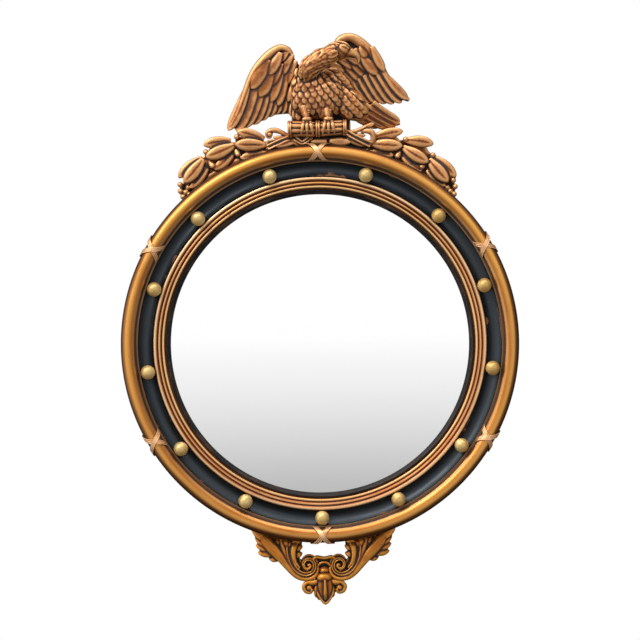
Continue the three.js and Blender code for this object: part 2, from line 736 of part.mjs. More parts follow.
function laurelSpray(side) {
  const k = LEAF_W / 8;
  const start = THREE.MathUtils.radToDeg(Math.asin(BASE_W / 2 / RING_R));
  const put = (out, angle, lift) => polar(RING_R + out * k, side * angle, SPRAY_GROUND + lift);
  const end = start + 2.9 * CLUSTER_PITCH;
  const thick = SPRAY_GROUND - CREST_BACK;
  const stem = Array.from({ length: 9 }, (_, i) => put(4, lerp(start - 1.5, end, i / 8), -thick / 2));
  const branch = swept(spline(stem), 9, (u) => {
    const w = lerp(9.5, 6.5, u) * k;
    const h = thick / 2;
    return [[-w, -h], [w, -h], [w, h * 0.5], [w * 0.4, h], [-w * 0.4, h], [-w, h * 0.5]];
  });
  const leaves = CLUSTERS.flatMap((c, i) => {
    const foot = start + i * CLUSTER_PITCH;
    const tip = foot + LEAF_SWEEP;
    return [
      [c.upperFoot, foot + 0.8, c.upper, tip - 0.6, 2],
      [c.foot - 8, foot + 0.4, c.lower, tip, 2.5],
      [c.foot, foot, c.middle, tip + 0.3, 5.5],
    ].map(([footOut, footAngle, tipOut, tipAngle, lift]) => blade({
      foot: put(footOut, footAngle, lift - 1),
      tip: put(tipOut, tipAngle, lift),
      width: LEAF_W,
      relief: LEAF_T,
      peak: 0.55,
      foots: 0.5,
      keel: 2,
    }));
  });
  const bunch = [[13.5, -0.6], [8, 0], [4, 1.2], [10.5, 1.7], [3.6, 2.8]].map((place) => [...place, -2]);
  const single = [[7, -8.8, 4], [27, -7.4, 3], [32.5, -17.5, 4]];
  const berries = [...bunch, ...single].map(([out, on, lift]) => ball(put(out, end + on, lift), BERRY_R, 6));
  const tuftLine = spline([put(8, end - 3.6, -6), put(8, end + 0.4, -5), put(4.5, end + 3, -4)]);
  const tuft = swept(tuftLine, 3, (u) => round(lerp(7, 3.5, u) * k, 6));
  return cut(join([branch, tuft, ...leaves, ...berries]), [ringRoom, baseBlock(GLUE)]);
}

// ---------------------------------------------------------------- apron

const APRON_SCALE = APRON_H / 82;

const apron = drawing(APRON_SCALE, -1, APRON_SHIFT);
const mirrored = (side) => ([x, ...rest]) => [side * x, ...rest];

// A scrolling leaf, drawn for the viewer's right and turned over for the left.
function acanthus(side, room = 0) {
  const turn = mirrored(side);
  const volute = Array.from({ length: 8 }, (_, i) => {
    const a = rad(250 - i * 62);
    const r = 9.5 * (1 - i / 9.5);
    return [18.5 + r * Math.cos(a), 30 - r * Math.sin(a), 11 + i * 0.7];
  });
  const scroll = apron.sweep(
    [[84, -15, 11], [66, 4, 13], [46, 24, 14], [30, 41, 12], ...volute].map(turn),
    20,
    (u) => round(lerp(8.5, 2.6, u ** 0.7) * apron.scale + room, 6, 0.95),
  );
  const leaf = (foot, tip, width, relief, more) => {
    return apron.leaf(turn(foot), turn(tip), width + room / apron.scale, relief, more);
  };
  const flutes = [
    leaf([38, 38, 11], [52, -8, 10], 6.5, 6, { bow: -side * 5, foots: 0.6 }),
    leaf([34, 38, 12], [40, -7, 10], 6.5, 6, { bow: -side * 3, foots: 0.6 }),
    leaf([32, 37, 13], [27.5, -1, 12], 6, 6, { bow: side * 7, foots: 0.6 }),
    leaf([44, 30, 11], [66, -7, 10], 7.5, 6, { bow: -side * 3, foots: 0.6 }),
  ];
  const lobes = [
    leaf([56, 13, 10], [84, 9, 8], 6, 4.5),
    leaf([64, 5, 10], [93, -3, 8], 5.5, 4.5),
    leaf([70, -1, 10], [101, -17, 8], 5, 4.5),
  ];
  const back = apron.plate(
    [[28, -15], [96, -27], [92, -15], [78, 1], [58, 20], [40, 38], [30, 41], [31, 20]].map(turn),
    CREST_GROUND + 3,
    room,
  );
  return cut(join([back, scroll, ...flutes, ...lobes]), [ringRoom]);
}

function husk() {
  const shape = join([
    apron.plate([[-24, 37], [-16, 57], [0, 71], [16, 57], [24, 37], [12, 21], [-12, 21]], CREST_GROUND * 0.5),
    apron.sweep([[0, 20, 5], [0, 34, 8], [0, 45, 13], [0, 54, 11]], 5, (u) => {
      return round(taper(u, 6, 11, 7, 0.7) * apron.scale, 8, 0.8);
    }),
    apron.leaf([0, 45, 13], [0.6, 82, 8], 8, 6.5, { foots: 0.8 }),
    apron.leaf([-5, 48, 9], [-12, 72, 7], 5.5, 5),
    apron.leaf([5, 48, 9], [12, 73, 7], 5.5, 5),
    ...[-1, 1].map((side) => apron.sweep(
      [[5, 50, 7], [14, 53, 8], [22, 58, 9], [19, 65, 9], [14, 61, 9]].map(mirrored(side)),
      6,
      (u) => round(lerp(5, 3, u) * apron.scale, 6),
    )),
  ]);
  return cut(shape, [acanthus(-1, GLUE), acanthus(1, GLUE)]);
}

// ---------------------------------------------------------------- dowels and hanging hardware

// Two dowels pin the crest base to the ring and two pin the apron leaves.
const angleAt = (x) => THREE.MathUtils.radToDeg(Math.asin(x / RING_R));
const crestDowel = { angle: angleAt(BASE_W / 3), depth: CREST_DOWEL_DEPTH };
const apronDowel = { angle: 180 - angleAt(60 * APRON_SCALE), depth: APRON_DOWEL_DEPTH };

function dowel({ angle, depth }, side, room = 0) {
  const inner = polar(SIDE_R - DOWEL_IN - room, side * angle, depth);
  const outer = polar(SIDE_R + GLUE + DOWEL_OUT + room, side * angle, depth);
  return rod(inner, outer, DOWEL_R + room);
}

// A hanger is drawn with its bar on the X axis and the strap running down, then set on the ring's back.
// room swells the screw to make its hole.
const HANGER_R = (COVE_R + SIDE_R) / 2; // the hangers sit in the middle of the ring's back
const KNUCKLE_R = WIRE_R + PIN_PLAY + STRAP_T;
const BAR_DEPTH = BACK - GLUE - KNUCKLE_R; // depth of the D-ring's bar

function hangerPoint(side, x, z, depth) {
  const centre = polar(HANGER_R, side * HANGER_ANGLE, depth);
  const outward = polar(1, side * HANGER_ANGLE, 0).multiplyScalar(x);
  const upward = polar(1, side * (HANGER_ANGLE - 90), 0).multiplyScalar(z);
  return centre.add(outward).add(upward);
}

function strap(side) {
  const put = (x, z, depth) => hangerPoint(side, x, z, depth);
  const w = STRAP_W / 2;
  const front = BACK - GLUE;
  const plate = skin([[w, 0], [w, 5 - STRAP_L], [w / 2, -STRAP_L]].map(([half, z]) => [
    put(-half, z, front),
    put(half, z, front),
    put(half, z, front - STRAP_T),
    put(-half, z, front - STRAP_T),
  ]));
  const knuckle = rod(put(-w, 0, BAR_DEPTH), put(w, 0, BAR_DEPTH), KNUCKLE_R, 10);
  const bore = rod(put(-w - 1, 0, BAR_DEPTH), put(w + 1, 0, BAR_DEPTH), WIRE_R + PIN_PLAY, 10);
  const hole = rod(put(0, -STRAP_SCREW_AT, BACK), put(0, -STRAP_SCREW_AT, 0), SCREW_R + GLUE);
  return cut(plate.add(knuckle), [bore, hole]);
}

function dRing(side) {
  const half = D_W / 2 + WIRE_R;
  const rise = D_H + WIRE_R;
  const bow = Array.from({ length: 9 }, (_, i) => {
    const a = Math.PI * (i / 8);
    return [half * Math.cos(a) * (1 - 0.06 * Math.sin(a)), rise * Math.sin(a) ** 0.75];
  });
  const path = [...bow, [-half * 0.8, 0], [half * 0.8, 0]];
  const centre = [0, rise * 0.4];
  return skin(path.map(([x, z], i) => {
    // Each section stands square to the wire, halfway between the runs that meet there.
    const [bx, bz] = path.at(i - 1);
    const [ax, az] = path[(i + 1) % path.length];
    const out = new THREE.Vector2(az - bz, bx - ax).normalize();
    if (out.x * (x - centre[0]) + out.y * (z - centre[1]) < 0) out.negate();
    return round(WIRE_R, 6).map(([s, l]) => hangerPoint(side, x + out.x * s, z + out.y * s, BAR_DEPTH + l));
  }), true);
}

function strapScrew(side, room = 0) {
  const outline = [
    [0, BACK - GLUE - STRAP_T - 2],
    [2.2, BACK - GLUE - STRAP_T - 1.9],
    [3.2, BACK - GLUE - STRAP_T - 0.3],
    [SCREW_R + room, BACK - GLUE - STRAP_T - 0.3],
    [SCREW_R + room, BACK + 9],
    [0, BACK + 12 + room],
  ];
  return turned(outline, 8, hangerPoint(side, 0, -STRAP_SCREW_AT, 0));
}

function bumper(side) {
  const outline = [[0, 0], [BUMPER_R - 1, 0], [BUMPER_R, 1], [BUMPER_R, BACK - GLUE], [0, BACK - GLUE]];
  return turned(outline, 14, polar(HANGER_R, side * BUMPER_ANGLE, 0));
}

// Both sides of the mirror, and the holes that its dowels and screws need.
const SIDES = [["left", -1], ["right", 1]];
const crestHoles = SIDES.map(([, side]) => dowel(crestDowel, side, GLUE));
const apronHoles = SIDES.map(([, side]) => dowel(apronDowel, side, GLUE));
const strapHoles = SIDES.map(([, side]) => strapScrew(side, GLUE));

const pieces = [
  ["outer_ring", cut(outerRing, [...crestHoles, ...apronHoles, ...strapHoles]), gilt],
  ["cove_ring", coveRingDrilled, ebonised],
  ["reeded_slip", reededSlip, gilt],
  ["sight_slip", sightSlip, ebonised],
  ["convex_glass", convexGlass, mirrorGlass],
  ["glass_packing", packing, beech],
  ["backboard", backboard, board],
  ["crest_base", cut(crestBase, crestHoles), antiqueGilt],
  ["perch", perch, antiqueGilt],
  ["eagle_body", eagleBody, antiqueGilt],
  ["wing_left", wingLeft, antiqueGilt],
  ["wing_right", wingRight, antiqueGilt],
  ["eagle_tail", eagleTail, antiqueGilt],
  ["leg_left", leg(-12.5, 45, 3), antiqueGilt],
  ["leg_right", leg(13, 44, 3), antiqueGilt],
  ["ribbon_tail_left", ribbonTail(-1, CURL_LEFT), antiqueGilt],
  ["ribbon_tail_right", ribbonTail(1, CURL_RIGHT), antiqueGilt],
  ["laurel_left", laurelSpray(-1), antiqueGilt],
  ["laurel_right", laurelSpray(1), antiqueGilt],
  ["acanthus_left", cut(acanthus(-1), apronHoles), antiqueGilt],
  ["acanthus_right", cut(acanthus(1), apronHoles), antiqueGilt],
  ["husk_drop", husk(), antiqueGilt],
];
pieces.forEach(([name, manifold, material]) => addPiece(name, manifold, material));
ballAngles.forEach((angle, i) => addPiece(`ball_${String(i + 1).padStart(2, "0")}`, coveBall(angle), paleGilt));
for (let i = 0; i < CROSS_COUNT; i++) {
  addPiece(`ribbon_cross_${i + 1}`, ribbonCross(i * (360 / CROSS_COUNT)), gilt);
}
for (const [name, side] of SIDES) {
  addPiece(`crest_dowel_${name}`, dowel(crestDowel, side), beech);
  addPiece(`apron_dowel_${name}`, dowel(apronDowel, side), beech);
  addPiece(`hanger_strap_${name}`, strap(side), steel);
  addPiece(`hanger_ring_${name}`, dRing(side), steel);
  addPiece(`hanger_screw_${name}`, strapScrew(side), steel);
  addPiece(`bumper_${name}`, bumper(side), felt);
}
boardScrewAngles.forEach((angle, i) => {
  addPiece(`board_screw_${i + 1}`, screw(...boardScrewPlace(angle)), brass);
});

export default mirror;
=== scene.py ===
# %% [markdown]
# # A girandole mirror
# A girandole is a round convex mirror in a turned, gilded ring, with a carved eagle standing on a spray
# of laurel above and a leafy apron below. The measured solids come from the CAD model; this notebook
# dresses each of them as the wood, gold, glass and metal of the real object. Every shape below is
# written in millimetres as (across, up, depth), where depth is how far a point stands off the wall.

# %% Load the measured solids
import json
import math
import random

import bmesh
import bpy
import numpy as np
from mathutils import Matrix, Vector, noise
from mathutils.bvhtree import BVHTree

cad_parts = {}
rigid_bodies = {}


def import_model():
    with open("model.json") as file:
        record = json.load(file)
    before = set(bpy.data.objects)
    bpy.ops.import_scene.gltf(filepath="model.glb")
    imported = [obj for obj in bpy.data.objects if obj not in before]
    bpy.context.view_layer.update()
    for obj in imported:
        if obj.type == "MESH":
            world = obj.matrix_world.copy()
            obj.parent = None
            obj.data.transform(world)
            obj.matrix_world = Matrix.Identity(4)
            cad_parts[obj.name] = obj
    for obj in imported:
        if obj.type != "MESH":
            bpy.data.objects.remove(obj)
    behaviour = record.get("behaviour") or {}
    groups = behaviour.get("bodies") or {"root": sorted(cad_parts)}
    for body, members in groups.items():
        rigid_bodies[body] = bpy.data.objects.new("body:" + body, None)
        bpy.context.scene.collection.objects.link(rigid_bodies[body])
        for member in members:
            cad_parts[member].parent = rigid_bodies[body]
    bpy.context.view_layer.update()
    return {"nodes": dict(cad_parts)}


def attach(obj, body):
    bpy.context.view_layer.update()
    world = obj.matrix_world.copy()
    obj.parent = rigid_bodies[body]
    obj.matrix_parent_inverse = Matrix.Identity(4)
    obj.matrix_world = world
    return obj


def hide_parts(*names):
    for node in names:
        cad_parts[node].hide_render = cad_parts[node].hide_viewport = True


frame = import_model()
scene = bpy.context.scene
MM = 0.001

# %% [markdown]
# ## Small helpers
# A mesh is only a list of corners and a list of faces, and a shell below is such a pair. make_piece turns
# shells into an object whose place is in its mesh, merges doubled corners, and turns every face outwards.
# stand_for says which solids the piece stands for, hides them, and sets what it moves with.

# %% Make a piece and hand it to the frame
SAME_CORNER = 1e-6  # metres within which two corners are one


def world(points):
    """Points in mm as (across, up, depth), in Blender's metres: x across, y into the wall, z up."""
    p = np.asarray(points, float).reshape(-1, 3)
    return np.column_stack((p[:, 0], -p[:, 2], p[:, 1])) * MM


def gather(shells):
    """One list of corners and one of faces from several shells."""
    verts, faces, start = [], [], 0
    for v, f in shells:
        verts.append(np.asarray(v, float))
        faces += [[i + start for i in face] for face in f]
        start += len(v)
    return np.vstack(verts), faces


def make_piece(name, shells, material, crease=40):
    """An object from shells. Edges sharper than the crease, in degrees, stay sharp."""
    mesh = bpy.data.meshes.new(name)
    verts, faces = gather(shells)
    mesh.from_pydata(world(verts).tolist(), [], faces)
    bm = bmesh.new()
    bm.from_mesh(mesh)
    bmesh.ops.remove_doubles(bm, verts=bm.verts, dist=SAME_CORNER)
    bmesh.ops.recalc_face_normals(bm, faces=bm.faces)
    bm.to_mesh(mesh)
    bm.free()
    mesh.materials.append(material)
    mesh.shade_smooth()
    mesh.set_sharp_from_angle(angle=math.radians(crease))
    piece = bpy.data.objects.new(name, mesh)
    scene.collection.objects.link(piece)
    return piece


def count_triangles(piece):
    return sum(len(p.vertices) - 2 for p in piece.data.polygons)


def stand_for(piece, slot, *nodes, body="mirror_frame"):
    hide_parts(*nodes)
    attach(piece, body)
    print(f"{piece.name}: {count_triangles(piece)} triangles for {', '.join(nodes)}")


# %% [markdown]
# Most of the mirror is turned on a lathe, cut from a board or drawn along a line. A lathe sweeps a closed
# outline of (radius, depth) round an axis. A sweep carries a closed section along a path and closes both
# ends, which makes a solid stick, leaf or feather, depending on how the section grows and shrinks on its
# way. All of them join rings of corners with the same four-sided faces.

# %% Lathe, plate and sweep
def quads(rings, n, closed=False):
    """Faces between rings of n corners. A closed row of rings also joins its last to its first."""
    faces = []
    for i in range(rings if closed else rings - 1):
        here, there = i * n, (i + 1) % rings * n
        faces += [[here + j, here + (j + 1) % n, there + (j + 1) % n, there + j] for j in range(n)]
    return faces


def arc(radius, depth, r, first, last, steps):
    """Points on a round stretch of an outline, from the first to the last angle in degrees."""
    angles = np.radians(np.linspace(first, last, steps))
    return [(radius + r * math.cos(a), depth + r * math.sin(a)) for a in angles]


def lathe(outline, steps=256, middle=(0, 0)):
    """A closed outline of (radius, depth), swept round an axis that stands straight off the wall."""
    verts = []
    for i in range(steps):
        a = 2 * math.pi * i / steps
        verts += [(middle[0] + r * math.sin(a), middle[1] + r * math.cos(a), d) for r, d in outline]
    return verts, quads(steps, len(outline), closed=True)


def plate(outline, low, high):
    """A board of the given outline, from one depth to another."""
    n = len(outline)
    verts = [(x, z, depth) for depth in (low, high) for x, z in outline]
    return verts, quads(2, n) + [list(range(n)), list(range(n, 2 * n))[::-1]]


def unit(v):
    return v / np.maximum(np.linalg.norm(v, axis=-1, keepdims=True), 1e-9)


def smooth_line(points, steps):
    """Catmull-Rom curve through the points, cut into even steps."""
    p = np.asarray(points, float)
    if len(p) == 2:
        return p[0] + (p[1] - p[0]) * np.linspace(0, 1, steps)[:, None]
    q = np.vstack((2 * p[0] - p[1], p, 2 * p[-1] - p[-2]))
    fine = []
    for i in range(1, len(q) - 2):
        t = np.linspace(0, 1, 24, endpoint=i == len(q) - 3)[:, None]
        a, b, c, d = q[i - 1], q[i], q[i + 1], q[i + 2]
        fine.append(
            0.5 * (2 * b + (c - a) * t + (2 * a - 5 * b + 4 * c - d) * t**2 + (3 * b - a - 3 * c + d) * t**3)
        )
    fine = np.vstack(fine)
    run = np.concatenate(([0], np.cumsum(np.linalg.norm(np.diff(fine, axis=0), axis=1))))
    even = np.linspace(0, run[-1], steps)
    return np.column_stack([np.interp(even, run, fine[:, k]) for k in range(3)])


def sweep(path, section, up=(0, 0, 1)):
    """Closed solid along a path. section(u) gives (across, up) pairs; up is straight off the wall unless given."""
    path = np.asarray(path, float)
    along = unit(np.gradient(path, axis=0))
    up = np.broadcast_to(np.asarray(up, float), path.shape)
    across = unit(np.cross(along, up))
    lift = np.cross(across, along)
    rings = []
    for i, point in enumerate(path):
        s = np.asarray(section(i / (len(path) - 1)), float)
        rings.append(point + s[:, :1] * across[i] + s[:, 1:] * lift[i])
    n, verts = len(rings[0]), np.vstack(rings)
    ends = [list(range(n))[::-1], list(range(len(verts) - n, len(verts)))]
    return verts, quads(len(path), n) + ends


def polar(r, degrees, depth=0.0):
    """A place at a radius from the ring's centre, turned clockwise from the top."""
    a = math.radians(degrees)
    return np.array((r * math.sin(a), r * math.cos(a), depth))


def ease(low, high, x):
    """0 below low and 1 above high, with a soft start and end between them."""
    t = np.clip((x - low) / (high - low), 0, 1)
    return t * t * (3 - 2 * t)


# %% [markdown]
# ## Finishes
# Every finish is a small network of nodes. These helpers place a node, fill its inputs with numbers or
# links, and blend colours, so that each finish below reads like a recipe.

# %% Node helpers
def set_inputs(tree, n, inputs):
    """Links each input that is given a socket, and writes the number or colour into each other one."""
    for key, value in inputs.items():
        if isinstance(value, bpy.types.NodeSocket):
            tree.links.new(value, n.inputs[key])
        else:
            n.inputs[key].default_value = value
    return n


def node(tree, kind, inputs=None, **settings):
    n = tree.nodes.new("ShaderNode" + kind)
    for key, value in settings.items():
        setattr(n, key, value)
    return set_inputs(tree, n, inputs or {})


def blend(tree, amount, a, b, how="MIX"):
    return node(tree, "Mix", {0: amount, 6: a, 7: b}, data_type="RGBA", blend_type=how).outputs[2]


def between(tree, value, low, high, out_low=0.0, out_high=1.0):
    inputs = {0: value, 1: low, 2: high, 3: out_low, 4: out_high}
    return node(tree, "MapRange", inputs, interpolation_type="SMOOTHSTEP").outputs[0]


def maths(tree, operation, a, b=0.0):
    return node(tree, "Math", {0: a, 1: b}, operation=operation).outputs[0]


def plus(tree, a, b):
    return maths(tree, "ADD", a, b)


def minus(tree, a, b):
    return maths(tree, "SUBTRACT", a, b)


def times(tree, a, b):
    return maths(tree, "MULTIPLY", a, b)


def stretched(tree, vector, by):
    return node(tree, "VectorMath", {0: vector, 1: by}, operation="MULTIPLY").outputs[0]


def place_on(tree):
    """Where a point of the piece lies, in metres from the ring's centre."""
    return node(tree, "TexCoord").outputs["Object"]


def clouds(tree, vector, scale, detail=3.0, rough=0.55):
    """Noise with the given number of clouds to the metre."""
    inputs = {"Vector": vector, "Scale": scale, "Detail": detail, "Roughness": rough}
    return node(tree, "TexNoise", inputs).outputs[0]


def bumped(tree, strength, size, height):
    """The normal of a surface whose relief has the given size in mm."""
    return node(tree, "Bump", {"Strength": strength, "Distance": size * MM, "Height": height}).outputs[0]


def colour_stops(tree, value, stops):
    """Colours along a value: a list of (place from 0 to 1, colour)."""
    ramp = node(tree, "ValToRGB", {0: value})
    ramp.color_ramp.elements.remove(ramp.color_ramp.elements[1])
    for i, (position, colour) in enumerate(stops):
        stop = ramp.color_ramp.elements[0] if i == 0 else ramp.color_ramp.elements.new(position)
        stop.position, stop.color = position, colour
    return ramp.outputs[0]


def rgb(red, green, blue):
    """A colour as a picture editor shows it, from 0 to 255, as the light it stands for."""
    values = (v / 255 for v in (red, green, blue))
    return tuple(c / 12.92 if c <= 0.04045 else ((c + 0.055) / 1.055) ** 2.4 for c in values) + (1.0,)


def new_group(name, inputs, outputs):
    """An empty shared group: its tree, the sockets that it takes, and the node that gives its results."""
    tree = bpy.data.node_groups.new(name, "ShaderNodeTree")
    for label, kind, value in inputs:
        socket = tree.interface.new_socket(label, in_out="INPUT", socket_type="NodeSocket" + kind)
        if value is not None:
            socket.default_value = value
    for label, kind in outputs:
        tree.interface.new_socket(label, in_out="OUTPUT", socket_type="NodeSocket" + kind)
    return tree, tree.nodes.new("NodeGroupInput").outputs, tree.nodes.new("NodeGroupOutput")


def place_group(tree, group, inputs):
    return node(tree, "Group", inputs, node_tree=group).outputs


def new_material(name):
    material = bpy.data.materials.new(name)
    material.use_nodes = True
    tree = material.node_tree
    tree.nodes.clear()
    shader = node(tree, "BsdfPrincipled")
    tree.links.new(shader.outputs[0], tree.nodes.new("ShaderNodeOutputMaterial").inputs[0])
    return material, tree, shader


# %% [markdown]
# Old gilding is the finish of nearly the whole mirror: thin gold over red-brown clay, dirtied with umber in
# every hollow and rubbed bright on every crest. The darkening in the hollows is painted shade as well as
# dirt, and the brightening on the crests is a painted highlight as well as wear. The carved pieces carry a
# "hollow" value on each corner (positive down in a cut, negative on a ridge), and one shared group turns it
# into colour, gloss and relief. The pattern itself comes from clouds of noise, from palm-sized patches down
# to fine specks.

# %% Old gilding, shared by all gilded pieces
gilding, take, give = new_group(
    "Old gilding",
    [("Vector", "Vector", None), ("Hollow", "Float", 0.0), ("Gold", "Color", rgb(176, 112, 32)),
     ("Bright", "Color", rgb(250, 212, 140)), ("Amber", "Color", rgb(140, 72, 18)),
     ("Dirt", "Color", rgb(30, 20, 14)), ("Rubbed", "Float", 0.5), ("Dirty", "Float", 0.5)],
    [("Color", "Color"), ("Roughness", "Float"), ("Metal", "Float"), ("Relief", "Float")],
)
patches = clouds(gilding, take["Vector"], 22.0, 2.0)
mottle = clouds(gilding, take["Vector"], 130.0, 4.0, 0.62)
specks = clouds(gilding, take["Vector"], 620.0, 3.0, 0.7)
uneven = minus(gilding, mottle, 0.5)

tone = blend(gilding, between(gilding, patches, 0.36, 0.66), take["Gold"], take["Amber"])
tone = blend(gilding, between(gilding, mottle, 0.42, 0.72, 0.0, 0.6), tone, take["Amber"])
# Hollows turn towards umber and the dirt colour: dirt, and painted shade in the recesses.
shaded = times(gilding, between(gilding, take["Hollow"], -0.35, 0.2, 0.0, 0.8), take["Dirty"])
tone = blend(gilding, shaded, tone, blend(gilding, 0.5, take["Amber"], take["Dirt"]))

# Crests turn bright: rubbed gilding, and a painted highlight.
ridge = plus(gilding, times(gilding, take["Hollow"], -1.0), times(gilding, uneven, 0.5))
rubbed_and_lit = times(gilding, between(gilding, ridge, -0.02, 0.55), take["Rubbed"])
tone = blend(gilding, rubbed_and_lit, tone, take["Bright"])

# Hollows and random flecks take the dirt colour: real dirt, and in the hollows painted shade as well.
sunk = plus(gilding, take["Hollow"], times(gilding, uneven, 0.7))
sunk = times(gilding, between(gilding, sunk, 0.0, 0.30), take["Dirty"])
fleck = times(gilding, between(gilding, specks, 0.62, 0.72, 0.0, 0.55), take["Dirty"])
grime_and_shade = maths(gilding, "MAXIMUM", sunk, fleck)
set_inputs(gilding, give, {
    "Color": blend(gilding, grime_and_shade, tone, take["Dirt"]),
    "Roughness": plus(gilding, between(gilding, mottle, 0.3, 0.75, 0.27, 0.42), times(gilding, grime_and_shade, 0.35)),
    "Metal": between(gilding, grime_and_shade, 0.1, 0.8, 1.0, 0.05),
    "Relief": plus(gilding, mottle, times(gilding, specks, 0.35)),
})

# %% [markdown]
# A turned ring is polished, dirtied and rubbed along its length, so its marks run round it. This group
# gives a pattern space that is squeezed round the ring and plain across it, worked out from where a point
# lies, so it has no seam.

# %% Marks that run round the ring
PATTERN_R = 0.25  # metres: radius of the circle that carries the marks before they are stretched

round_ring, take, give = new_group(
    "Marks round the ring", [("Stretch", "Float", 8.0)], [("Vector", "Vector"), ("Radius", "Float")]
)
x, y, z = node(round_ring, "SeparateXYZ", {0: place_on(round_ring)}).outputs
radius = maths(round_ring, "SQRT", plus(round_ring, times(round_ring, x, x), times(round_ring, z, z)))
squeeze = maths(round_ring, "DIVIDE", PATTERN_R, times(round_ring, radius, take["Stretch"]))
squeezed = {0: times(round_ring, x, squeeze), 1: times(round_ring, z, squeeze), 2: minus(round_ring, radius, y)}
joined = node(round_ring, "CombineXYZ", squeezed).outputs[0]
set_inputs(round_ring, give, {"Vector": joined, "Radius": radius})

# %% [markdown]
# Each gilded piece then wears the group with its own colours. The turned pieces also change colour across
# the ring, where hands and dusters reach the crown of a moulding but not its foot; these colours also paint
# the highlight on each crown and the shade on its flanks and in its grooves. The carved pieces are darker on
# their flat ground, between the leaves, from dirt and painted shade, and paler on the back, which was only
# washed over.

# %% Gilded finishes
def by_radius(tree, radius, stops):
    """Colours across a turned ring: a list of (radius in mm, colour)."""
    low, high = stops[0][0], stops[-1][0]
    place = node(tree, "MapRange", {0: radius, 1: low * MM, 2: high * MM}).outputs[0]
    return colour_stops(tree, place, [((r - low) / (high - low), colour) for r, colour in stops])


def gilt_finish(name, relief, metal, ground=0.0, rings=(), **colours):
    """Gilding with relief in mm. ground is the depth of a carving's flat ground, darkened with dirt and painted
    shade; rings are a turning's colours, painted highlight and shade among them.
    """
    material, tree, shader = new_material(name)
    hollow = node(tree, "Attribute", attribute_name="hollow").outputs["Fac"]
    if rings:
        marks = place_group(tree, round_ring, {"Stretch": 7.0})
        pattern = marks["Vector"]
        colours["Gold"] = by_radius(tree, marks["Radius"], rings)
        colours["Amber"] = blend(tree, 1.0, colours["Gold"], rgb(214, 188, 160), "MULTIPLY")
    else:
        pattern = place_on(tree)
    if ground:
        depth = times(tree, node(tree, "SeparateXYZ", {0: pattern}).outputs[1], -1.0)
        # The deep flat ground between the leaves is darkened: dirt, and painted shade.
        low = between(tree, depth, (ground - 2.5) * MM, ground * MM, 0.5, 0.0)
        front = between(tree, depth, (ground - 7) * MM, (ground - 5) * MM)  # leaves the back out
        hollow = plus(tree, hollow, times(tree, low, front))
    gold = place_group(tree, gilding, {"Vector": pattern, "Hollow": hollow, **colours})
    set_inputs(tree, shader, {
        "Base Color": gold["Color"],
        "Roughness": gold["Roughness"],
        "Metallic": times(tree, gold["Metal"], metal),
        "Normal": bumped(tree, 0.5, relief, gold["Relief"]),
    })
    return material


# Colours across the bead: worn and dirtied gilding, with a painted highlight near the crown and painted shade on
# the outer flank and the inner step.
bead_colours_and_light = [
    (233.0, rgb(150, 122, 94)), (236.4, rgb(128, 86, 54)), (238.6, rgb(206, 154, 98)), (241.5, rgb(192, 118, 42)),
    (245.0, rgb(206, 134, 46)), (248.2, rgb(210, 142, 54)), (250.8, rgb(172, 112, 48)), (252.4, rgb(124, 86, 52)),
    (254.4, rgb(86, 64, 46)), (256.0, rgb(90, 68, 54)),
]
# Colours across the reeds: worn gilding, with painted highlights on their crowns and painted shade in the grooves
# between them.
reed_colours_and_light = [
    (197.5, rgb(70, 40, 26)), (199.4, rgb(196, 142, 84)), (201.2, rgb(234, 184, 118)), (203.0, rgb(196, 118, 44)),
    (204.6, rgb(170, 84, 20)), (206.4, rgb(222, 140, 50)), (208.4, rgb(150, 74, 22)), (209.8, rgb(176, 110, 62)),
    (212.2, rgb(236, 196, 158)), (214.8, rgb(120, 88, 66)),
]
ring_gilt = gilt_finish(
    "bead_gilt", 0.25, 0.8, rings=bead_colours_and_light, Bright=rgb(234, 186, 108), Dirt=rgb(44, 28, 20),
    Rubbed=0.5, Dirty=0.85,
)
reed_gilt = gilt_finish(
    "reed_gilt", 0.25, 0.75, rings=reed_colours_and_light, Bright=rgb(246, 206, 150), Dirt=rgb(78, 38, 16),
    Rubbed=0.6, Dirty=0.9,
)
ribbon_gilt = gilt_finish(
    "ribbon_gilt", 0.3, 0.6, Gold=rgb(190, 122, 62), Bright=rgb(246, 200, 150),
    Amber=rgb(164, 94, 42), Dirt=rgb(50, 24, 12), Rubbed=0.8, Dirty=1.0,
)
carved_gilt = gilt_finish(
    "carved_gilt", 0.3, 0.62, ground=15.5, Gold=rgb(162, 92, 32), Bright=rgb(218, 164, 108),
    Amber=rgb(134, 66, 18), Dirt=rgb(28, 18, 14), Rubbed=0.75, Dirty=1.0,
)
apron_gilt = gilt_finish(
    "apron_gilt", 0.3, 0.7, ground=16.5, Gold=rgb(176, 94, 8), Bright=rgb(226, 158, 62),
    Amber=rgb(134, 62, 6), Dirt=rgb(22, 22, 22), Rubbed=0.65, Dirty=1.0,
)
ball_gilt = gilt_finish(
    "ball_gilt", 0.2, 0.4, Gold=rgb(226, 196, 132), Bright=rgb(244, 230, 196),
    Amber=rgb(204, 162, 88), Dirt=rgb(92, 64, 28), Rubbed=0.7, Dirty=0.6,
)
print("gilded finishes made")

# %% [markdown]
# The cove is ebonised: black polish over close-grained wood. The polish has worn thin in places and shows
# chips of brown and of old gold, most of all near its two lips. The mirror itself is silvered glass, and
# to a renderer that is simply a very smooth metal.

# %% Black polish and mirror glass
COVE_LINE = 224.5  # radius in mm from which the wear grows towards both lips of the cove

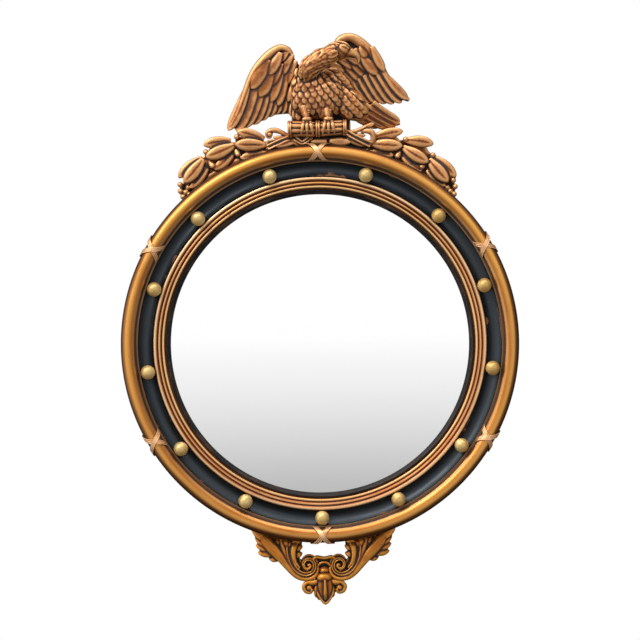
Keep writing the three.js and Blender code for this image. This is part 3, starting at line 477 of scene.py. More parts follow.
ebony, tree, shader = new_material("ebonised")
marks = place_group(tree, round_ring, {"Stretch": 5.0})
from_line = maths(tree, "ABSOLUTE", minus(tree, marks["Radius"], COVE_LINE * MM))
near_lip = between(tree, from_line, 5.5 * MM, 9.5 * MM, 0.0, 0.09)
worn = between(tree, plus(tree, clouds(tree, marks["Vector"], 95.0, 5.0, 0.68), near_lip), 0.68, 0.73)
chips = blend(tree, clouds(tree, marks["Vector"], 260.0), rgb(60, 34, 26), rgb(168, 112, 62))
streaks = between(tree, clouds(tree, marks["Vector"], 40.0), 0.4, 0.7)
haze = clouds(tree, marks["Vector"], 150.0, 4.0)
set_inputs(tree, shader, {
    "Base Color": blend(tree, worn, blend(tree, streaks, rgb(8, 9, 10), rgb(20, 20, 20)), chips),
    "Roughness": plus(tree, between(tree, haze, 0.35, 0.7, 0.4, 0.56), times(tree, worn, 0.3)),
    "Normal": bumped(tree, 0.35, 0.3, minus(tree, haze, worn)),
    "Specular IOR Level": 0.55,
    # The blue tint of the gloss is a painted reflection: it colours the polish's reflections blue-grey like a sky.
    "Specular Tint": (0.72, 0.86, 1.0, 1),
    "Coat Weight": 0.12,
    "Coat Roughness": 0.3,
})

edge_black, tree, shader = new_material("edge_black")
marks = place_group(tree, round_ring, {"Stretch": 6.0})
rub = clouds(tree, marks["Vector"], 170.0, 5.0, 0.65)
set_inputs(tree, shader, {
    "Base Color": blend(tree, between(tree, rub, 0.45, 0.68), rgb(12, 10, 10), rgb(62, 46, 38)),
    "Roughness": between(tree, rub, 0.35, 0.7, 0.45, 0.65),
    "Specular IOR Level": 0.2,
})

silvered, tree, shader = new_material("mirror_glass")
film = clouds(tree, place_on(tree), 9.0, 2.0)
smears = clouds(tree, place_on(tree), 30.0, 3.0)
set_inputs(tree, shader, {
    "Base Color": blend(tree, film, (0.955, 0.96, 0.962, 1), (0.965, 0.965, 0.963, 1)),
    "Roughness": between(tree, smears, 0.3, 0.7, 0.012, 0.03),
    "Metallic": 1.0,
})

# %% [markdown]
# The back of the mirror is plain work: a stained board, and unfinished beech for the dowels and the packing
# under the glass. Wood grain is noise stretched along one direction and cut into rings by a sine of that
# noise, so that no two rings are equally wide.

# %% Wood grain, shared by the board and the beech
grain, take, give = new_group(
    "Wood grain",
    [("Vector", "Vector", None), ("Light", "Color", rgb(200, 160, 110)), ("Dark", "Color", rgb(140, 96, 60)),
     ("Size", "Float", 1.0)],
    [("Color", "Color"), ("Relief", "Float")],
)
long = stretched(grain, take["Vector"], (60.0, 60.0, 3.5))
long = node(grain, "VectorMath", {0: long, 3: take["Size"]}, operation="SCALE").outputs[0]
growth = clouds(grain, long, 0.12, 2.0)
rings = between(grain, maths(grain, "SINE", times(grain, growth, 110.0)), -1.0, 1.0)
fibre = clouds(grain, stretched(grain, long, (8.0, 8.0, 2.0)), 1.5, 4.0)
mixed = plus(grain, times(grain, rings, 0.3), times(grain, fibre, 0.8))
set_inputs(grain, give, {"Color": blend(grain, mixed, take["Light"], take["Dark"]), "Relief": mixed})


def wooden(name, light, dark, size, roughness):
    material, tree, shader = new_material(name)
    wood = place_group(tree, grain, {"Vector": place_on(tree), "Light": light, "Dark": dark, "Size": size})
    set_inputs(tree, shader, {
        "Base Color": wood["Color"],
        "Roughness": roughness,
        "Normal": bumped(tree, 0.4, 0.3, wood["Relief"]),
    })
    return material


board_wood = wooden("board", rgb(150, 108, 66), rgb(96, 62, 36), 1.0, 0.72)
beech = wooden("beech", rgb(214, 178, 130), rgb(176, 130, 84), 4.0, 0.8)

# %% [markdown]
# The metal on the back is plated steel for the hangers and brass for the screws, both dulled in clouds and
# finely scratched. The pads are felt: very rough, with a little sheen from the loose fibres.

# %% Steel, brass and felt
def metallic(name, light, dark, rough_low, rough_high):
    material, tree, shader = new_material(name)
    cloud = clouds(tree, place_on(tree), 180.0, 4.0)
    set_inputs(tree, shader, {
        "Base Color": blend(tree, between(tree, cloud, 0.35, 0.7), light, dark),
        "Roughness": between(tree, cloud, 0.3, 0.7, rough_low, rough_high),
        "Normal": bumped(tree, 0.3, 0.1, clouds(tree, place_on(tree), 1400.0, 2.0)),
        "Metallic": 1.0,
    })
    return material


steel = metallic("steel", rgb(196, 196, 192), rgb(140, 136, 128), 0.28, 0.5)
brass = metallic("screw_brass", rgb(206, 170, 96), rgb(140, 104, 50), 0.25, 0.5)

felt, tree, shader = new_material("felt")
fuzz = clouds(tree, place_on(tree), 900.0, 5.0, 0.8)
set_inputs(tree, shader, {
    "Base Color": blend(tree, fuzz, rgb(36, 36, 34), rgb(84, 82, 78)),
    "Roughness": 0.95,
    "Normal": bumped(tree, 0.8, 0.5, fuzz),
    "Sheen Weight": 0.3,
})

# %% [markdown]
# ## The turned ring
# The ring is a bought-in turning on the real object: a gilded half-round bead with a small step inside it,
# a black hollow for the balls, three gilded reeds that step down towards the glass, and a thin black
# edge against the glass. Each is one outline swept round the centre. The radii and depths are the CAD
# model's; the outlines only have more corners, so that they turn smoothly. The gilded rings also get a
# hollow value for each radius, so that dirt and painted shade lie in their grooves and a painted highlight
# lies near their crowns.

# %% Bead, hollow, reeds and sight edge
BEAD_LINE, BEAD_DEPTH, BEAD_R = 245.5, 36.5, 9.5  # radius of its line, its depth, and its own radius
BACK = 6.3  # depth of the ring's flat back
COVE_OUT, COVE_IN, COVE_LIP, COVE_DIP = 233.0, 215.0, 33.0, 5.6
REBATE_R, REBATE_DEPTH = 201.1, 21.6  # the step in the cove ring that holds the glass
SLIP_BACK = 20.9
REEDS = [(211.6, 28.9, 3.1), (206.2, 27.5, 2.3), (201.6, 25.3, 2.3)]  # line, depth and radius of each
RING_STEPS = 320


def corners_of(mesh):
    """The mesh's corners in metres, one to a row."""
    points = np.empty(len(mesh.vertices) * 3)
    mesh.vertices.foreach_get("co", points)
    return points.reshape(-1, 3)


def set_hollow(mesh, values):
    mesh.attributes.new("hollow", "FLOAT", "POINT").data.foreach_set("value", values)


def hollow_by_radius(piece, stops):
    """Gives each corner its hollow value from its radius: a list of (radius in mm, value)."""
    points = corners_of(piece.data)
    radius = np.hypot(points[:, 0], points[:, 2]) / MM
    set_hollow(piece.data, np.interp(radius, [r for r, _ in stops], [v for _, v in stops]))


bead = [(233.3, BACK + 0.6), (233.9, BACK), (250.2, BACK), (251.0, BACK + 0.8), (251.0, 27.8), (251.3, 28.7)]
bead += arc(BEAD_LINE, BEAD_DEPTH, BEAD_R, -50, 196, 34)
bead += [(236.3, 33.3), (235.9, 33.0), (233.6, 33.0), (233.3, 32.7)]
outer_ring = make_piece("gilded_bead", [lathe(bead, RING_STEPS)], ring_gilt)
# Hollow values across the bead: dirt and painted shade in the step inside it, rubbing and a painted highlight just
# outside its crown.
bead_dirt_and_light = [
    (233, -0.15), (235.6, -0.1), (236.3, 0.5), (237.2, 0.1), (238.4, -0.2), (242, -0.1), (247.5, -0.45),
    (250.0, -0.05), (252.5, 0.05), (255, 0.05),
]
hollow_by_radius(outer_ring, bead_dirt_and_light)
stand_for(outer_ring, "ring_gilt", "outer_ring")

dip = []
for t in (i / 24 for i in range(25)):
    dip.append((COVE_OUT + (COVE_IN - COVE_OUT) * t, COVE_LIP - t - COVE_DIP * math.sin(math.pi * t) ** 0.8))
cove = [(REBATE_R, BACK), (COVE_OUT, BACK)] + dip + [(COVE_IN, REBATE_DEPTH), (REBATE_R, REBATE_DEPTH)]
cove_ring = make_piece("black_hollow", [lathe(cove, RING_STEPS)], ebony)
stand_for(cove_ring, "ebonised", "cove_ring")

slip = [(197.6, SLIP_BACK), (214.7, SLIP_BACK), (214.7, 28.9)]
for (line, depth, r), (first, last) in zip(REEDS, [(0, 168), (24, 158), (24, 176)]):
    slip += arc(line, depth, r, first, last, 12)
slip += [(198.6, 24.6), (197.6, 24.3)]
reeded_slip = make_piece("reeded_slip", [lathe(slip, RING_STEPS)], reed_gilt)
# Hollow values across the reeds: dirt and painted shade in the grooves, rubbing and painted highlights on the
# crowns.
reed_dirt_and_light = [
    (197.6, 0.5), (199.2, 0.05), (201.6, -0.5), (203.2, -0.05), (203.9, 0.5), (204.7, -0.05), (206.4, -0.4),
    (208.0, 0.0), (208.6, 0.5), (209.4, 0.0), (212, -0.5), (214.2, 0.1), (214.8, 0.5),
]
hollow_by_radius(reeded_slip, reed_dirt_and_light)
stand_for(reeded_slip, "ring_gilt", "reeded_slip")

sight = [(197.3, SLIP_BACK), (197.3, 26.6), (196.9, 27.1), (196.2, 27.1), (195.7, 26.7)]
sight += [(195.2 - 0.55 * i, 25.6 - 0.62 * i + 0.02 * i * i) for i in range(4)]
sight += [(193.3, 23.7), (192.7, 23.6), (192.3, 23.2), (192.3, 21.9)]
sight_edge = make_piece("sight_edge", [lathe(sight, RING_STEPS)], edge_black, crease=50)
stand_for(sight_edge, "ebonised", "sight_slip")

# %% [markdown]
# The convex glass is a slice of a large sphere. Its curve decides how much of the room it gathers, so it
# is swept from the sphere's own radius rather than guessed. Behind it sit the beech packing and the board.

# %% Convex glass, packing and backboard
GLASS_R, GLASS_RIM, GLASS_RISE, GLASS_THICK = 200.3, 20.0, 20.0, 3.0
sphere = (GLASS_R**2 + GLASS_RISE**2) / (2 * GLASS_RISE)


def glass_depth(r):
    return GLASS_RIM + math.sqrt(sphere**2 - r**2) - math.sqrt(sphere**2 - GLASS_R**2)


radii = np.linspace(0, GLASS_R, 41)
front = [(r, glass_depth(r)) for r in radii]
back = [(r, glass_depth(r) - GLASS_THICK) for r in radii[::-1]]
glass = make_piece("convex_mirror_glass", [lathe(front + back, 256)], silvered, crease=30)
stand_for(glass, "mirror_glass", "convex_glass")

packing = [(192.3, BACK), (200.3, BACK), (200.3, 16.2), (199.8, 16.7), (193.0, 16.7), (192.3, 15.9)]
packing_ring = make_piece("glass_packing_ring", [lathe(packing, 160)], beech)
stand_for(packing_ring, "plain_beech", "glass_packing")

board = [(0, 0), (222.8, 0), (223.6, 0.3), (224.0, 1.1), (224.0, 5.2), (223.4, 6.0), (0, 6.0)]
backboard = make_piece("backboard_round", [lathe(board, 200)], board_wood, crease=30)
print("the glass is a slice of a sphere of", round(sphere), "mm radius")

# %% [markdown]
# Where one shape takes out another, a Boolean modifier does it: first the countersunk holes in the board,
# then the slot in each screw's head. The modifier's result is baked into the mesh and the tool removed.

# %% Cut one shape with another
SCREW_LINE, SCREW_COUNT = 218.5, 6


def baked(piece):
    """The piece with its modifiers made part of its mesh."""
    bpy.context.view_layer.update()
    mesh = bpy.data.meshes.new_from_object(piece.evaluated_get(bpy.context.evaluated_depsgraph_get()))
    piece.modifiers.clear()
    old = piece.data
    piece.data = mesh
    bpy.data.meshes.remove(old)
    return piece


def cut_with(piece, shells):
    tool = make_piece(piece.name + "_tool", shells, piece.data.materials[0])
    cutter = piece.modifiers.new("cut", "BOOLEAN")
    cutter.object, cutter.operation, cutter.solver = tool, "DIFFERENCE", "EXACT"
    baked(piece)
    bpy.data.objects.remove(tool)
    return piece


def countersink(place, r, first, last):
    """A hole from one depth to another that opens to twice its radius at the first."""
    return lathe([(0, first), (2 * r, first), (r, first + r), (r, last), (0, last)], 24, place[:2])


screw_places = [polar(SCREW_LINE, 30 + 360 / SCREW_COUNT * i) for i in range(SCREW_COUNT)]
cut_with(backboard, [countersink(place, 1.9, -0.5, 7) for place in screw_places])
stand_for(backboard, "board", "backboard")

# %% [markdown]
# ## What repeats
# The balls, the crossed ribbons and the screws are each made once and set out with Geometry Nodes. The
# tree takes a mesh of bare points, reads how each copy is turned, and ends by making the copies real, so
# that each set is one ordinary mesh.

# %% A Geometry Nodes tree that sets a piece on places
def set_out_tree():
    tree = bpy.data.node_groups.new("Set a piece on places", "GeometryNodeTree")
    for label, kind in (("Geometry", "Geometry"), ("Piece", "Object"), ("Finish", "Material")):
        tree.interface.new_socket(label, in_out="INPUT", socket_type="NodeSocket" + kind)
    tree.interface.new_socket("Geometry", in_out="OUTPUT", socket_type="NodeSocketGeometry")
    add, link = tree.nodes.new, tree.links.new
    source, sink = add("NodeGroupInput").outputs, add("NodeGroupOutput").inputs
    info, copies = add("GeometryNodeObjectInfo"), add("GeometryNodeInstanceOnPoints")
    turn, rotation = add("GeometryNodeInputNamedAttribute"), add("FunctionNodeEulerToRotation")
    real, finish = add("GeometryNodeRealizeInstances"), add("GeometryNodeSetMaterial")
    turn.data_type = "FLOAT_VECTOR"
    turn.inputs["Name"].default_value = "turn"
    link(source["Piece"], info.inputs["Object"])
    link(source["Geometry"], copies.inputs["Points"])
    link(info.outputs["Geometry"], copies.inputs["Instance"])
    link(turn.outputs["Attribute"], rotation.inputs[0])
    link(rotation.outputs[0], copies.inputs["Rotation"])
    link(copies.outputs[0], real.inputs[0])
    link(real.outputs[0], finish.inputs["Geometry"])
    link(source["Finish"], finish.inputs["Material"])
    link(finish.outputs[0], sink["Geometry"])
    return tree


SET_OUT = set_out_tree()


def set_out(name, pattern, places, turns, material, crease=40):
    """One mesh of copies of the pattern piece, one at each place and turned by its angle in radians."""
    mesh = bpy.data.meshes.new(name)
    mesh.from_pydata(world(places).tolist(), [], [])
    rotations = np.array([(0, turn, 0) for turn in turns], float)
    mesh.attributes.new("turn", "FLOAT_VECTOR", "POINT").data.foreach_set("vector", rotations.ravel())
    piece = bpy.data.objects.new(name, mesh)
    scene.collection.objects.link(piece)
    copier = piece.modifiers.new("copies", "NODES")
    copier.node_group = SET_OUT
    values = {"Piece": pattern, "Finish": material}
    for item in SET_OUT.interface.items_tree:
        if item.in_out == "INPUT" and item.name in values:
            copier[item.identifier] = values[item.name]
    baked(piece)
    bpy.data.objects.remove(pattern)
    piece.data.set_sharp_from_angle(angle=math.radians(crease))
    return piece


# %% [markdown]
# Thirteen balls stand in the hollow, one at the foot and six up each side. A ball turned by hand and then
# coated with chalk and gold is never quite round, so its surface is pushed in and out a little by noise.

# %% Turned balls
BALL_R, BALL_DEPTH, BALL_LINE = 9.2, 36.8, 223.4
PEG_R, PEG_FOOT, BALL_FOOT = 2.6, 18.7, 28.5
SIDE_FIRST, SIDE_STEP = 154, 27.6  # degrees from the top

ball_angles = [180] + [side * (SIDE_FIRST - SIDE_STEP * i) for i in range(6) for side in (1, -1)]
outline = [(0, PEG_FOOT), (PEG_R - 0.3, PEG_FOOT), (PEG_R, PEG_FOOT + 0.4), (PEG_R, 27.6)]
outline += arc(0, BALL_DEPTH, BALL_R, -72, 90, 26)[:-1] + [(0, BALL_DEPTH + BALL_R)]
verts, faces = lathe(outline, 48)
verts = np.asarray(verts)
middle = Vector((0, 0, BALL_DEPTH))
for v in verts[verts[:, 2] > BALL_FOOT]:
    out = Vector(v) - middle
    v[:] = middle + out * (1 + 0.012 * noise.noise(out * 0.22) + 0.004 * noise.noise(out * 0.9) - 0.012)
pattern = make_piece("ball", [(verts, faces)], ball_gilt, crease=60)
rng = random.Random(13)
turns = [rng.uniform(0, 6.28) for _ in ball_angles]
balls = set_out("cove_balls", pattern, [polar(BALL_LINE, a) for a in ball_angles], turns, ball_gilt, crease=60)
stand_for(balls, "ball_gilt", *[f"ball_{i + 1:02d}" for i in range(13)])

# %% [markdown]
# Six crossed ribbons bind the bead. Each band is carved with a raised border and two grooves; it starts
# on the step inside the bead, goes over the crown and round the outer side, and one band rides over the
# other where they meet. What lies close to the bead, and the lower band where the upper one crosses it, is
# darker with dirt and painted shade. What stands furthest off the bead is rubbed brightest, with a painted
# highlight.

# %% Crossed ribbons
RIBBON_HALF, RIBBON_THICK, RIBBON_RUN = 3.0, 1.7, 24.0
CROSSING = 0.47  # where along a band the two meet


def mirrored(half):
    """A symmetrical section from its right half."""
    return [(-s, h) for s, h in half[::-1]] + half


def ribbon_section(u):
    w, t = RIBBON_HALF, RIBBON_THICK / 2
    half = [(0.45, 0.95), (0.75, 0.5), (w - 1.25, 0.45), (w - 0.8, 1.0), (w - 0.25, 0.85), (w, 0.1)]
    return [(s, h * t) for s, h in mirrored(half)] + [(w, -t), (-w, -t)]


def ribbon_band(lean, over):
    path, ups = [], []
    for u in np.linspace(0, 1, 41):
        round_bead = math.radians(184 - 200 * u)
        lift = BEAD_R + RIBBON_THICK / 2 + 0.12 + over * math.exp(-(((u - CROSSING) / 0.13) ** 2))
        around = lean * (u - CROSSING) * math.degrees(RIBBON_RUN / BEAD_LINE)
        out = BEAD_LINE + lift * math.cos(round_bead)
        path.append(polar(out, around, BEAD_DEPTH + lift * math.sin(round_bead)))
        ups.append(polar(math.cos(round_bead), around, math.sin(round_bead)))
    return sweep(path, ribbon_section, ups)


pattern = make_piece("ribbon_cross", [ribbon_band(1, 0.0), ribbon_band(-1, 0.9)], ribbon_gilt, crease=35)
# Hollow from height over the bead: dirt and painted shade close to the bead and under the crossing band, rubbing
# and a painted highlight on top.
points = corners_of(pattern.data) / MM
from_line = np.hypot(np.hypot(points[:, 0], points[:, 2]) - BEAD_LINE, -points[:, 1] - BEAD_DEPTH)
set_hollow(pattern.data, np.interp(from_line - BEAD_R, (0.2, 0.9, 1.5, 1.8), (1.0, 0.35, -0.3, -0.8)))
turns = [math.radians(60 * i) for i in range(6)]
crosses = set_out("ribbon_crosses", pattern, [(0, 0, 0)] * 6, turns, ribbon_gilt, crease=35)
stand_for(crosses, "ring_gilt", *[f"ribbon_cross_{i + 1}" for i in range(6)])

# %% [markdown]
# The hardware on the back is small but it is what holds the mirror up: two D-rings on straps, each with
# one round-headed screw, brass screws through the board and two felt pads that keep the ring off the wall.

# %% Board screws
def slotted(name, outline, material, slot_low, slot_high, slot_half):
    """A screw with a slot across its head, between two depths."""
    pattern = make_piece(name, [lathe(outline, 32)], material, crease=35)
    slot = [(-6, -slot_half), (6, -slot_half), (6, slot_half), (-6, slot_half)]
    return cut_with(pattern, [plate(slot, slot_low, slot_high)])


thread = [(1.7 - 0.18 * (i % 2) - 0.02 * i, 3.2 + 0.55 * i) for i in range(24)]
outline = [(0, 0.3), (3.2, 0.3), (3.4, 0.5), (1.75, 2.3)] + thread + [(0, 17.3)]
pattern = slotted("board_screw", outline, brass, -1, 1.0, 0.4)
rng = random.Random(4)
turns = [rng.uniform(0, 3.1) for _ in screw_places]
board_screws = set_out("board_screws", pattern, screw_places, turns, brass, crease=35)
stand_for(board_screws, "screw_brass", *[f"board_screw_{i + 1}" for i in range(6)])

# %% [markdown]
# A hanger is a ring of wire bent to a D, whose straight side turns in the rolled end of a small strap. The
# ring is a piece of its own on its own body, because it swings. Everything is placed by how far it lies
# across, up and off the wall from the hanger's own point on the ring, so left and right share one recipe.

# %% Hanger rings and straps
HANGER_LINE, HANGER_ANGLE = 242.0, 75.0
WIRE_R = 1.25
KNUCKLE_OUT, KNUCKLE_IN = 2.45, 1.55
STRAP_BACK, STRAP_THICK, STRAP_HALF = 6.0, 0.9, 4.5  # depth of its face against the ring
BAR_DEPTH = STRAP_BACK - KNUCKLE_OUT
SIDES = (("left", -1), ("right", 1))


def hanger_point(side, across, rise, depth):
    centre = polar(HANGER_LINE, side * HANGER_ANGLE, depth)
    outward = polar(1, side * HANGER_ANGLE)
    upward = polar(1, side * (HANGER_ANGLE - 90))
    return centre + outward * across + upward * rise


def circle(r, n=12, squash=1.0):
    return [(r * math.cos(2 * math.pi * i / n), r * squash * math.sin(2 * math.pi * i / n)) for i in range(n)]


def loop(path, section, up):
    """A section carried along a path that closes on itself."""
    path = np.asarray(path, float)
    along = unit(np.roll(path, -1, axis=0) - np.roll(path, 1, axis=0))
    across = unit(np.cross(along, np.asarray(up, float)))
    lift = np.cross(across, along)
    s = np.asarray(section, float)
    verts = np.vstack([p + s[:, :1] * a + s[:, 1:] * b for p, a, b in zip(path, across, lift)])
    return verts, quads(len(path), len(section), closed=True)


def d_ring(word, side):
    half, rise = 7 + WIRE_R, 11 + WIRE_R
    bow = [math.pi * i / 32 for i in range(33)]
    wire = [(half * math.cos(a) * (1 - 0.06 * math.sin(a)), rise * math.sin(a) ** 0.75) for a in bow]
    wire += [(x, 0.0) for x in np.linspace(-half * 0.8, half * 0.8, 12)]
    path = [hanger_point(side, x, z, BAR_DEPTH) for x, z in wire]
    return make_piece(f"d_ring_{word}", [loop(path, circle(WIRE_R), (0, 0, 1))], steel, crease=60)


def strap(word, side):
    w = STRAP_HALF
    foot = [(w * math.cos(a), -12.5 - w * math.sin(a)) for a in np.linspace(0, math.pi, 13)]
    edge = [(w, 0.0), (w, -11.5)] + foot + [(-w, -11.5), (-w, 0.0)]
    layers = [(0.985, 0), (1.0, 0.15), (1.0, STRAP_THICK - 0.15), (0.97, STRAP_THICK)]
    verts = [hanger_point(side, x * k, z * k, STRAP_BACK - below) for k, below in layers for x, z in edge]
    n = len(edge)
    leaf_of_steel = (verts, quads(4, n) + [list(range(n)), list(range(3 * n, 4 * n))[::-1]])
    span = np.linspace(-w, w, 7)
    wall = [(x, KNUCKLE_OUT) for x in span] + [(x, KNUCKLE_IN) for x in span[::-1]]
    turn = np.linspace(0, 2 * math.pi, 28, endpoint=False)
    roll = [hanger_point(side, x, r * math.cos(a), BAR_DEPTH + r * math.sin(a)) for a in turn for x, r in wall]
    return make_piece(f"strap_{word}", [leaf_of_steel, (roll, quads(28, len(wall), closed=True))], steel)


for word, side in SIDES:
    stand_for(d_ring(word, side), "steel", f"hanger_ring_{word}", body=f"hook_ring_{word}")
    stand_for(strap(word, side), "steel", f"hanger_strap_{word}")

# %% [markdown]
# One domed screw holds each strap. Two felt pads near the foot of the ring are as thick as the board, and
# keep the ring off the wall. The dowels keep their CAD shape and only get their wood.

# %% Hanger screws, felt pads and dowels
HEAD_R, HANGER_SCREW = 3.2, 7.5  # its head, and how far below the bar it sits
PAD_LINE, PAD_ANGLE = 242.0, 150

head_foot = STRAP_BACK - STRAP_THICK
dome = np.radians(np.linspace(12, 84, 8))
head = [(0, head_foot - 2.0)] + [(HEAD_R * math.sin(a), head_foot - 0.3 - 1.7 * math.cos(a)) for a in dome]
outline = head + [(HEAD_R, head_foot - 0.05), (1.7, head_foot - 0.05), (1.7, BACK + 9), (0, BACK + 12)]
pad = [(0, 0), (5.2, 0), (5.8, 0.3), (6.0, 0.9), (6.0, 5.6), (5.8, 6.0), (0, 6.0)]
for word, side in SIDES:
    pattern = slotted(f"hanger_screw_pattern_{word}", outline, steel, 0, head_foot - 1.1, 0.4)
    place = hanger_point(side, 0, -HANGER_SCREW, 0)
    screw = set_out(f"hanger_screw_dome_{word}", pattern, [place], [0.7 * side], steel, crease=35)
    stand_for(screw, "steel", f"hanger_screw_{word}")
    bumper = make_piece(f"felt_pad_{word}", [lathe(pad, 48, polar(PAD_LINE, side * PAD_ANGLE)[:2])], felt)
    stand_for(bumper, "felt", f"bumper_{word}")
    for place in ("crest", "apron"):
        finishes = frame["nodes"][f"{place}_dowel_{word}"].data.materials
        finishes.clear()
        finishes.append(beech)

# %% [markdown]
# ## Carving
# A carver starts from a flat board, leaves a ground and cuts leaves and feathers out of it so that they
# overlap. Here each leaf or feather is a closed shell of its own. All the shells of one piece are laid on
# each other, and a voxel remesh melts them into one skin, just as if they had been cut from one block.
# Each remeshed corner is then measured: how hollow the surface is there, which drives the gilding.

# %% Melt shells into one carved piece
# The broadest measure marks whole valleys between forms, which the gilding darkens as painted shade.
HOLLOWS = ((4, 0.22, 0.7), (26, 0.9, 0.8), (80, 2.2, 0.6))  # rounds of smoothing, mm that count as deep, weight


def neighbours_mean(points, edges, weight):
    total = np.zeros_like(points)
    for k in range(points.shape[1]):
        total[:, k] = np.bincount(edges[:, 0], points[edges[:, 1], k], len(points))
        total[:, k] += np.bincount(edges[:, 1], points[edges[:, 0], k], len(points))
    return total / weight


def relax(points, edges, rounds, strength=0.5):
    """Moves each corner towards its neighbours' mean, which smooths the form."""
    weight = np.bincount(edges.ravel(), minlength=len(points)).clip(1)[:, None]
    for _ in range(rounds):
        points = points + strength * (neighbours_mean(points, edges, weight) - points)
    return points


def carve(name, shells, voxel, material, rounds=2):
    """One skin over all the shells, remeshed at a voxel in mm, smoothed, and measured for hollows."""
    piece = make_piece(name, shells, material)
    melt = piece.modifiers.new("melt", "REMESH")
    melt.mode, melt.voxel_size = "VOXEL", voxel * MM
    mesh = baked(piece).data
    edges = np.empty(len(mesh.edges) * 2, int)
    mesh.edges.foreach_get("vertices", edges)
    edges = edges.reshape(-1, 2)
    points = relax(corners_of(mesh), edges, rounds)
    mesh.vertices.foreach_set("co", points.ravel())
    mesh.update()
    normals = np.empty(len(points) * 3)
    mesh.vertices.foreach_get("normal", normals)
    normals = normals.reshape(-1, 3)
    value = 0
    for smoothing, deep, weight in HOLLOWS:
        rise = np.einsum("ij,ij->i", relax(points, edges, smoothing) - points, normals)
        value = value + weight * (rise / (deep * MM))
    set_hollow(mesh, np.clip(relax(value[:, None], edges, 1)[:, 0], -1, 1))
    mesh.materials.clear()
    mesh.materials.append(material)
    mesh.shade_smooth()
    return piece


# %% [markdown]
# Carving has only a few kinds of cut. A feather has a crowned vane with a thin shaft standing up along its
# middle. A laurel leaf has two long grooves that meet at both ends and leave a rib between them. Both
# follow the same plan: a path from foot to tip, a width that swells and closes to a rounded point, and a
# section with the top cut as the kind asks. A lean tips one edge below its neighbour.

# %% Feathers, leaves and plain forms
VANE = mirrored([(0.07, 1.1), (0.17, 0.9), (0.42, 0.94), (0.72, 0.8), (0.93, 0.5), (1, 0.1)])
BLADE = [
    (-1, 0.1), (-0.92, 0.52), (-0.7, 0.86), (-0.4, 0.98), (0, 1.0), (0.4, 0.97), (0.7, 0.84), (0.92, 0.5), (1, 0.1),
]
LAUREL = mirrored([(0.06, 0.92), (0.13, 0.66), (0.2, 1.0), (0.42, 0.96), (0.7, 0.84), (0.92, 0.55), (1, 0.1)])
PLAIN = [(-1, 0.0), (-0.85, 0.5), (-0.5, 0.87), (0, 1.0), (0.5, 0.87), (0.85, 0.5), (1, 0.0)]
BAND = mirrored([(0.38, 0.45), (0.5, 0.95), (0.75, 1.0), (0.95, 0.7), (1, 0.0)])
CARVED_BACK = 7.0  # depth of every carving's back


def swell(u, foot, widest, point):
    """Width along a leaf: grows from its foot to the widest place and closes to its point."""
    if u < widest:
        return foot + (1 - foot) * math.sin(0.5 * math.pi * u / widest)
    return max(0.03, (1 - ((u - widest) / (1 - widest)) ** point) ** 0.62)


def leaf(foot, tip, half, rise=2.2, thick=3.0, bow=0.0, arch=0.0, kind=BLADE, steps=15, **more):
    """A leaf from foot to tip, half as wide as told; bow bends it sideways and arch lifts its middle."""
    foot, tip = np.asarray(foot, float), np.asarray(tip, float)
    side = unit(np.cross(tip - foot, (0, 0, 1)))
    middle = (foot + tip) / 2 + side * bow + np.array((0, 0, arch))
    t = np.linspace(0, 1, steps)[:, None]
    path = (1 - t) ** 2 * foot + 2 * t * (1 - t) * middle + t**2 * tip
    return leaf_on(path, half, rise, thick, kind, **more)


def leaf_on(path, half, rise, thick, kind=BLADE, base=0.55, widest=0.58, point=2.2, lean=0.0, up=(0, 0, 1)):
    def section(u):
        w = half * swell(u, base, widest, point)
        h = rise * (0.45 + 0.55 * w / half)
        top = [(s * w, k * h + lean * s) for s, k in kind]
        return top + [(w * 0.9, -thick), (-w * 0.9, -thick)]

    return sweep(path, section, up)


def stick(points, radius, steps=24, sides=12, squash=1.0, up=(0, 0, 1)):
    """A round rod along a smooth line, with its radius a function of how far along it is."""
    return sweep(smooth_line(points, steps), lambda u: circle(radius(u), sides, squash), up)


def tapered(*stops):
    """A width that runs through the given values from end to end."""
    return lambda u: float(np.interp(u, np.linspace(0, 1, len(stops)), stops))


def moulding(points, widths, kind, rise, thick, steps, foot=1.0, up=(0, 0, 1)):
    """A band of the given section along a smooth line; foot makes its underside narrower."""
    width = tapered(*widths)

    def section(u):
        w = width(u)
        return [(s * w, h * rise) for s, h in kind] + [(w * foot, -thick), (-w * foot, -thick)]

    return sweep(smooth_line(points, steps), section, up)


def lump(centre, radii, lean=0.0, sides=28):
    """An egg with three radii, turned by its lean in degrees as seen from the front."""
    verts, rows = [], sides // 2
    c, s = math.cos(math.radians(lean)), math.sin(math.radians(lean))
    for i in range(rows + 1):
        for j in range(sides):
            down, a = math.pi * i / rows, 2 * math.pi * j / sides
            x, z = radii[0] * math.sin(down) * math.cos(a), radii[1] * math.sin(down) * math.sin(a)
            verts.append(
                (centre[0] + x * c - z * s, centre[1] + x * s + z * c, centre[2] + radii[2] * math.cos(down))
            )
    return verts, quads(rows + 1, sides)


# %% [markdown]
# ### The wings
# Each wing is a flat ground with a thick rolled front edge. Long primaries fan out along its lower side,
# each a little higher than the next. Large oval coverts lie over their feet, and small feathers fill the
# corner against the body. The two wings are held differently, so each has its own lists.

# %% Wing feathers from lists
GROUND = 13.0  # depth of the flat ground behind the feathers
SHOULDER_RISE, SHOULDER_SPREAD = 5.0, 2.6


